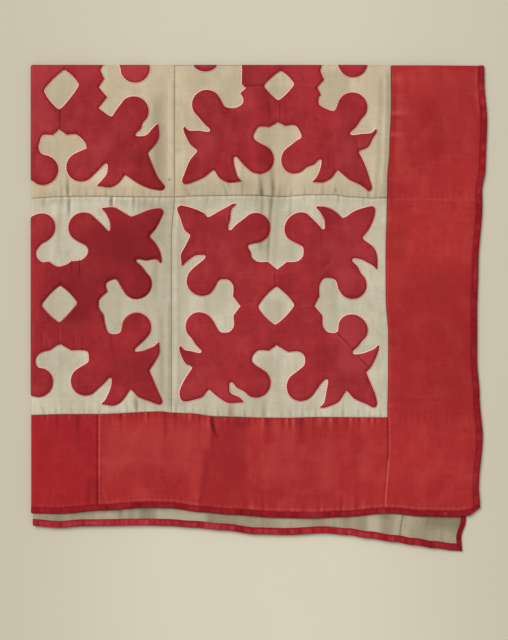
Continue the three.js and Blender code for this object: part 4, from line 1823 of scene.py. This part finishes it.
CROWNS: dict[str, dict[str, Rows]] = {
    "block_foot_middle": {
        "NW": curve((30, 352), (60, 370), (98, 398), (160, 398), (208, 440), (216, 500), (172, 562)),
        "NE": curve((30, 352), (72, 367), (114, 394), (200, 404), (256, 451), (268, 501), (246, 542)),
        "SW": curve((20, 386), (60, 412), (90, 430), (150, 440), (200, 468), (222, 522), (200, 580)),
        "EN": curve((30, 368), (60, 390), (112, 450, 1), (182, 434), (218, 476), (226, 535)),
        "ES": curve((26, 366), (56, 378), (100, 412, 1), (190, 428), (264, 456), (284, 505), (266, 570)),
    },
    "block_middle_middle": {
        "EN": curve((94, 394, 1), (179, 358, 1), (222, 390), (235, 450), (215, 529)),
        "ES": curve((74, 421, 1), (176, 344, 1), (247, 439), (247, 466), (198, 497)),
    },
    "block_middle_right": {
        "EN": curve((47, 418, 1), (132, 384, 1), (190, 404), (235, 450), (225, 520)),
        "ES": curve((92, 388, 1), (116, 369, 1), (180, 370), (219, 428), (241, 512)),
        "WS": curve((76, 359, 1), (122, 331), (175, 338), (213, 408), (200, 493)),
        "WN": curve((9, 343, 1), (186, 342), (230, 380), (235, 450), (210, 520)),
    },
}
CUTS: dict[str, dict[str, Shift]] = {
    "block_foot_right": {
        "NW": strays(
            neck=(35, 12), lobe=(4, 0), slit=(14, -5), point=(38, 24), belly=(4, 18), notch=(50, 4),
            flank=(0, -14), tip=(44, -6),
        ),
        "NE": strays(
            lobe=(-4, 4), slit=(-6, 0), point=(-16, -4), belly=(-4, -4), flank=(0, 12), tip=(0, 12),
        ),
        "EN": strays(
            crown=(0, -18), bay=(10, -20), lobe=(8, -22), slit=(4, 0), point=(-8, 22), belly=(20, 32),
            notch=(40, -18), flank=(20, -20), tip=(20, -45),
        ),
        "ES": strays(lobe=(0, -30), slit=(-12, -14), point=(-20, 16), flank=(0, -16), tip=(20, -34)),
        "SE": strays(
            lobe=(10, 10), slit=(12, -30), point=(22, 20), belly=(10, 18), notch=(27, -34),
            flank=(0, -24), tip=(12, -22),
        ),
        "SW": strays(
            peak=(17, 6), crown=(0, -10), neck=(-20, -10), lobe=(5, -22), slit=(6, 0), point=(-44, -30),
            belly=(-6, -8), notch=(35, -35), flank=(0, -16), tip=(-10, -32),
        ),
        "WS": strays(slit=(0, 10), point=(22, 0), notch=(-16, -18), flank=(0, -4), tip=(-8, -30)),
        "WN": strays(lobe=(20, -10), slit=(20, -30), point=(0, -20), notch=(39, 0), tip=(20, 16)),
    },
    "block_foot_middle": {
        "NW": strays(lobe=(-28, 0)),
        "NE": strays(
            crown=(20, -8), bay=(24, 6), neck=(14, 0), lobe=(16, -4), slit=(30, -22), point=(24, -18),
            belly=(30, 2), notch=(60, 0), flank=(20, -34), tip=(30, -34),
        ),
        "EN": strays(
            lobe=(-24, 8), slit=(-30, 18), point=(14, 44), belly=(10, 45), notch=(25, 30), flank=(0, 28),
            tip=(-30, 30),
        ),
        "ES": strays(
            peak=(0, 22), lobe=(26, 6), slit=(12, 6), point=(10, 24), belly=(10, 42), notch=(38, 30),
            flank=(18, 8), tip=(46, 30),
        ),
        "SE": strays(
            crown=(20, 22), bay=(30, 0), neck=(34, 2), lobe=(40, 2), slit=(46, -10), point=(32, 28),
            belly=(42, 56), notch=(65, 4), flank=(40, 18), tip=(52, 32),
        ),
        "SW": strays(peak=(-16, 35), lobe=(-8, 8)),
    },
    "block_middle_middle": {
        "EN": strays(lobe=(-8, -42)),
        "ES": strays(
            peak=(-18, 0), lobe=(0, -54), slit=(-10, -18), point=(-44, -22), belly=(-30, -2),
            notch=(-10, -19), flank=(0, -36), tip=(10, 12),
        ),
        "SE": strays(
            crown=(-40, 13), bay=(-16, 50), neck=(0, 6), lobe=(-21, 4), slit=(-20, -8), point=(-36, -10),
            belly=(-22, 14), notch=(-15, -12), tip=(30, 0),
        ),
        "SW": strays(peak=(19, 30), crown=(-12, 13), bay=(-38, 35), neck=(-52, 45), lobe=(-40, 26)),
    },
    "block_middle_right": {
        "EN": strays(lobe=(6, -32)),
        "ES": strays(
            peak=(22, 12), lobe=(0, -36), slit=(15, -32), point=(34, 0), belly=(20, -18), notch=(14, -56),
            flank=(30, -48), tip=(56, -48),
        ),
        "SE": strays(
            crown=(-28, -34), bay=(-30, -6), neck=(-60, -27), lobe=(-34, -30), slit=(-34, 0),
            point=(-30, 2), belly=(-34, 18), notch=(-32, -8), flank=(-20, 8), tip=(-14, 30),
        ),
        "SW": strays(
            peak=(6, 0), crown=(-4, -20), bay=(-18, -4), neck=(-50, -10), lobe=(-30, -24),
            slit=(-34, -30), point=(-30, -8), belly=(-4, 10), notch=(-5, -16), flank=(-20, -10),
            tip=(-22, -12),
        ),
        "WS": strays(
            lobe=(-22, -53), slit=(-10, -65), point=(20, -33), belly=(0, -38), notch=(10, -59),
            flank=(0, -48), tip=(0, -42),
        ),
        "WN": strays(peak=(-32, -39), lobe=(57, -40)),
    },
}  # fmt: skip


# ---- The binding ---------------------------------------------------------------------------------


@dataclass(frozen=True)
class Strip:
    """One side of the binding: which way it runs and where it starts and ends."""

    name: str
    lines: Lines
    span: tuple[float, float]
    crosswise: bool
    edge: float
    inward: int
    tone: float = 0.0
    slope: float = 0.0

    def spot(self, inset: np.ndarray, run: np.ndarray) -> tuple[np.ndarray, np.ndarray]:
        """Across and along of a spot on the strip."""
        beside = self.edge + self.inward * inset
        return (run, beside) if self.crosswise else (beside, run)


@dataclass
class Binding:
    """The narrow folded strip that wraps the quilt's edge, mitred at its corners."""

    section: tuple[tuple[float, float], ...] = (
        (15.0, 1.15), (15.1, 1.38), (14.2, 1.5), (11.0, 1.5), (7.0, 1.5), (3.5, 1.5), (1.6, 1.35),
        (0.5, 0.9), (0.0, 0.0), (0.5, -0.9), (1.6, -1.35), (3.5, -1.5), (7.0, -1.5), (11.0, -1.5),
        (15.8, -1.5), (16.7, -1.38), (16.6, -1.15), (16.2, -0.75), (3.0, -0.75), (1.3, -0.3), (1.3, 0.3),
        (3.0, 0.75), (14.6, 0.75),
    )  # fmt: skip
    mitre: float = 0.02
    mitre_room: float = 16.0
    plump_front: float = 0.45
    plump_back: float = 0.35
    patches: tuple[Patch, ...] = patches(
        (131, 190, -1090, -1050, -0.3, 12), (1060, 1100, -250, 0, 0.35, 30),
        (250, 287, -1090, -1050, -0.3, 12), (503, 550, -1090, -1050, -0.3, 12),
        (743, 779, -1090, -1050, -0.35, 12), (45, 100, 1080, 1120, 0.3, 12),
        (165, 195, 1080, 1120, 0.35, 8), (250, 310, 1080, 1120, 0.3, 12), (420, 470, 1080, 1120, 0.3, 12),
        (880, 940, 1080, 1120, -0.2, 12), (955, 1090, 1040, 1120, -0.45, 14),
    )  # fmt: skip

    def strips(self) -> tuple[Strip, ...]:
        """The four strips.

        Returns:
            The strips.
        """
        return (
            Strip("binding_left", ROWS, LONG, False, Across.LEFT_EDGE, 1),
            Strip("binding_head", COLUMNS, WIDE, True, Along.HEAD_EDGE, -1, 0.15),
            Strip("binding_right", ROWS, LONG, False, Across.RIGHT_EDGE, -1, -0.3, 0.006),
            Strip("binding_foot", COLUMNS, WIDE, True, Along.FOOT_EDGE, 1, -0.2),
        )

    def build(self) -> None:
        """Makes the four strips."""
        for strip in self.strips():
            self.wrap(strip)

    def wrap(self, strip: Strip) -> None:
        """Makes one strip as a flattened tube, closed at both ends.

        Args:
            strip: the strip.
        """
        low, high = strip.span
        runs = strip.lines.between(low + self.mitre_room, high - self.mitre_room)
        stations = len(runs) + 2
        bm = bmesh.new()
        around = len(self.section)
        bmesh.ops.create_grid(bm, x_segments=around, y_segments=stations - 1, size=0.5)
        keys = bm.verts.layers.int.new("key")
        for v in bm.verts:
            i = round((v.co.x + 0.5) * around) % around
            j = round((v.co.y + 0.5) * (stations - 1))
            v[keys] = j * around + i
            inset, height = self.section[i]
            if j == 0:
                run = low + inset + self.mitre
            elif j == stations - 1:
                run = high - inset - self.mitre
            else:
                run = runs[j - 1]
            v.co = (inset, run, height)
        bmesh.ops.remove_doubles(bm, verts=bm.verts[:], dist=1e-5)
        bmesh.ops.holes_fill(bm, edges=[e for e in bm.edges if e.is_boundary], sides=0)
        bmesh.ops.triangulate(bm, faces=[f for f in bm.faces if len(f.verts) > 4])
        bmesh.ops.recalc_face_normals(bm, faces=bm.faces[:])
        piece = Piece(strip.name + "_cloth", bm)
        inset, run, height = piece.flat.T.copy()
        across, along = strip.spot(inset, run)
        piece.flat[:, 0], piece.flat[:, 1] = across, along
        if strip.crosswise == (strip.inward > 0):
            piece.mesh.flip_normals()
        mid = np.clip(inset * (BINDING_WIDTH - inset) / 56, 0, 1)
        wander = np.sin(run / 17) + np.sin(run / 43 + 1.0)
        gather = 0.2 * np.sin(run / 6.3 + 1.4 * wander) * np.sin(run / 37 + 0.4)
        gather += 0.1 * np.sin(run / 2.4 + 2.0 * wander) + 0.12 * np.sin(run / 71) * np.sin(run / 23 + 2)
        face_up = (across > 0) & (along < 0) & (height > 0.6)
        back_up = (across > 0) & (along > Along.HEAD_EDGE - 80) & (height < -0.6)
        height = height + face_up * mid * (self.plump_front + gather)
        height = height - back_up * mid * (self.plump_back + gather)
        # Each strip's own tone and its slope across; then painted highlight and shade that rise and fall with
        # the gathers; then painted shade along the inner seam and at the outer fold.
        tone = strip.tone + strip.slope * inset + gather * 1.5 * mid
        tone = tone - 0.3 * (inset > BINDING_WIDTH - 1) - 0.2 * (inset < 1)
        for mark in self.patches:
            tone += mark.tone(across, along)
        made = piece.finish(height, tone, Finishes.BINDING)
        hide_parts(strip.name)


# ---- The studio ----------------------------------------------------------------------------------


@dataclass
class Studio:
    """A pale floor, soft light and the camera straight above."""

    scale: float = 2.4 * MM
    height: int = 640
    lens: float = 110.0
    sensor: float = 36.0
    middle: tuple[float, float] = (-0.0120, -0.0276)
    face_level: float = 0.009
    floor_half: float = 4.0
    floor_gap: float = 0.0002
    key_energy: float = 2.22
    key_spread: float = 38.0
    key_aim: tuple[float, float, float] = (0.6, -0.6, -1.0)
    sky: float = 0.5

    def build(self) -> None:
        """Makes all of it."""
        self.camera()
        self.floor()
        self.lights()

    def camera(self) -> None:
        """Looks straight down, with the quilt's face at the given scale."""
        data = bpy.data.cameras.new("camera")
        data.lens, data.sensor_width = self.lens, self.sensor
        away = self.scale * self.height / 2 / (self.sensor / 2 / self.lens)
        data.clip_start, data.clip_end = 0.1, 20.0
        camera = bpy.data.objects.new("camera", data)
        camera.location = (*self.middle, away + self.face_level)
        bpy.context.scene.collection.objects.link(camera)
        bpy.context.scene.camera = camera

    def floor(self) -> None:
        """A plain warm pale floor."""
        bm = bmesh.new()
        bmesh.ops.create_grid(bm, x_segments=1, y_segments=1, size=self.floor_half)
        bmesh.ops.translate(bm, verts=bm.verts[:], vec=(0, 0, CAD_BOX[0].z - self.floor_gap))
        mesh = bpy.data.meshes.new("floor")
        bm.to_mesh(mesh)
        bm.free()
        bench = NodeBench("floor_paper", "Object")
        cloud = bench.ramp(bench.noise((1.6, 1.2, 1), 3), 0.35, 0.7)
        colour = bench.blend(bench.math("MULTIPLY", cloud, 0.5), linear("#d1cab5"), linear("#d6cfbb"))
        spot = bench.add("ShaderNodeTexCoord").outputs["Object"]
        split = bench.add("ShaderNodeSeparateXYZ")
        bench.join(spot, split.inputs["Vector"])
        aside = bench.math("ABSOLUTE", split.outputs["X"], 0.0)
        colour = bench.blend(bench.share(aside, 0.22, 0.36), colour, linear("#c6bea9"))
        upward = bench.math("MULTIPLY", bench.share(split.outputs["Y"], -0.6, 1.2), 0.45)
        colour = bench.blend(upward, colour, linear("#c9c3b0"))
        bench.join(colour, bench.shader.inputs["Base Color"])
        bench.shader.inputs["Roughness"].default_value = 0.95
        bench.shader.inputs["Specular IOR Level"].default_value = 0.1
        mesh.materials.append(bench.material)
        floor = bpy.data.objects.new("floor", mesh)
        bpy.context.scene.collection.objects.link(floor)

    def lights(self) -> None:
        """A soft key from the upper left and an even sky."""
        data = bpy.data.lights.new("key", "SUN")
        data.energy = self.key_energy
        data.angle = math.radians(self.key_spread)
        key = bpy.data.objects.new("key", data)
        key.rotation_euler = Vector(self.key_aim).to_track_quat("-Z", "Y").to_euler()
        bpy.context.scene.collection.objects.link(key)
        world = bpy.data.worlds.new("studio")
        world.use_nodes = True
        background = world.node_tree.nodes["Background"]
        background.inputs["Color"].default_value = (1.0, 0.99, 0.97, 1)
        background.inputs["Strength"].default_value = self.sky
        bpy.context.scene.world = world
        bpy.context.scene.view_settings.view_transform = "Standard"


def main() -> None:
    """Builds everything."""
    logging.basicConfig(level=logging.INFO, format="%(message)s")
    Studio().build()
    face = QuiltFace()
    face.build()
    Backing().build()
    Leaves(face).build()
    Binding().build()


if __name__ == "__main__":
    main()
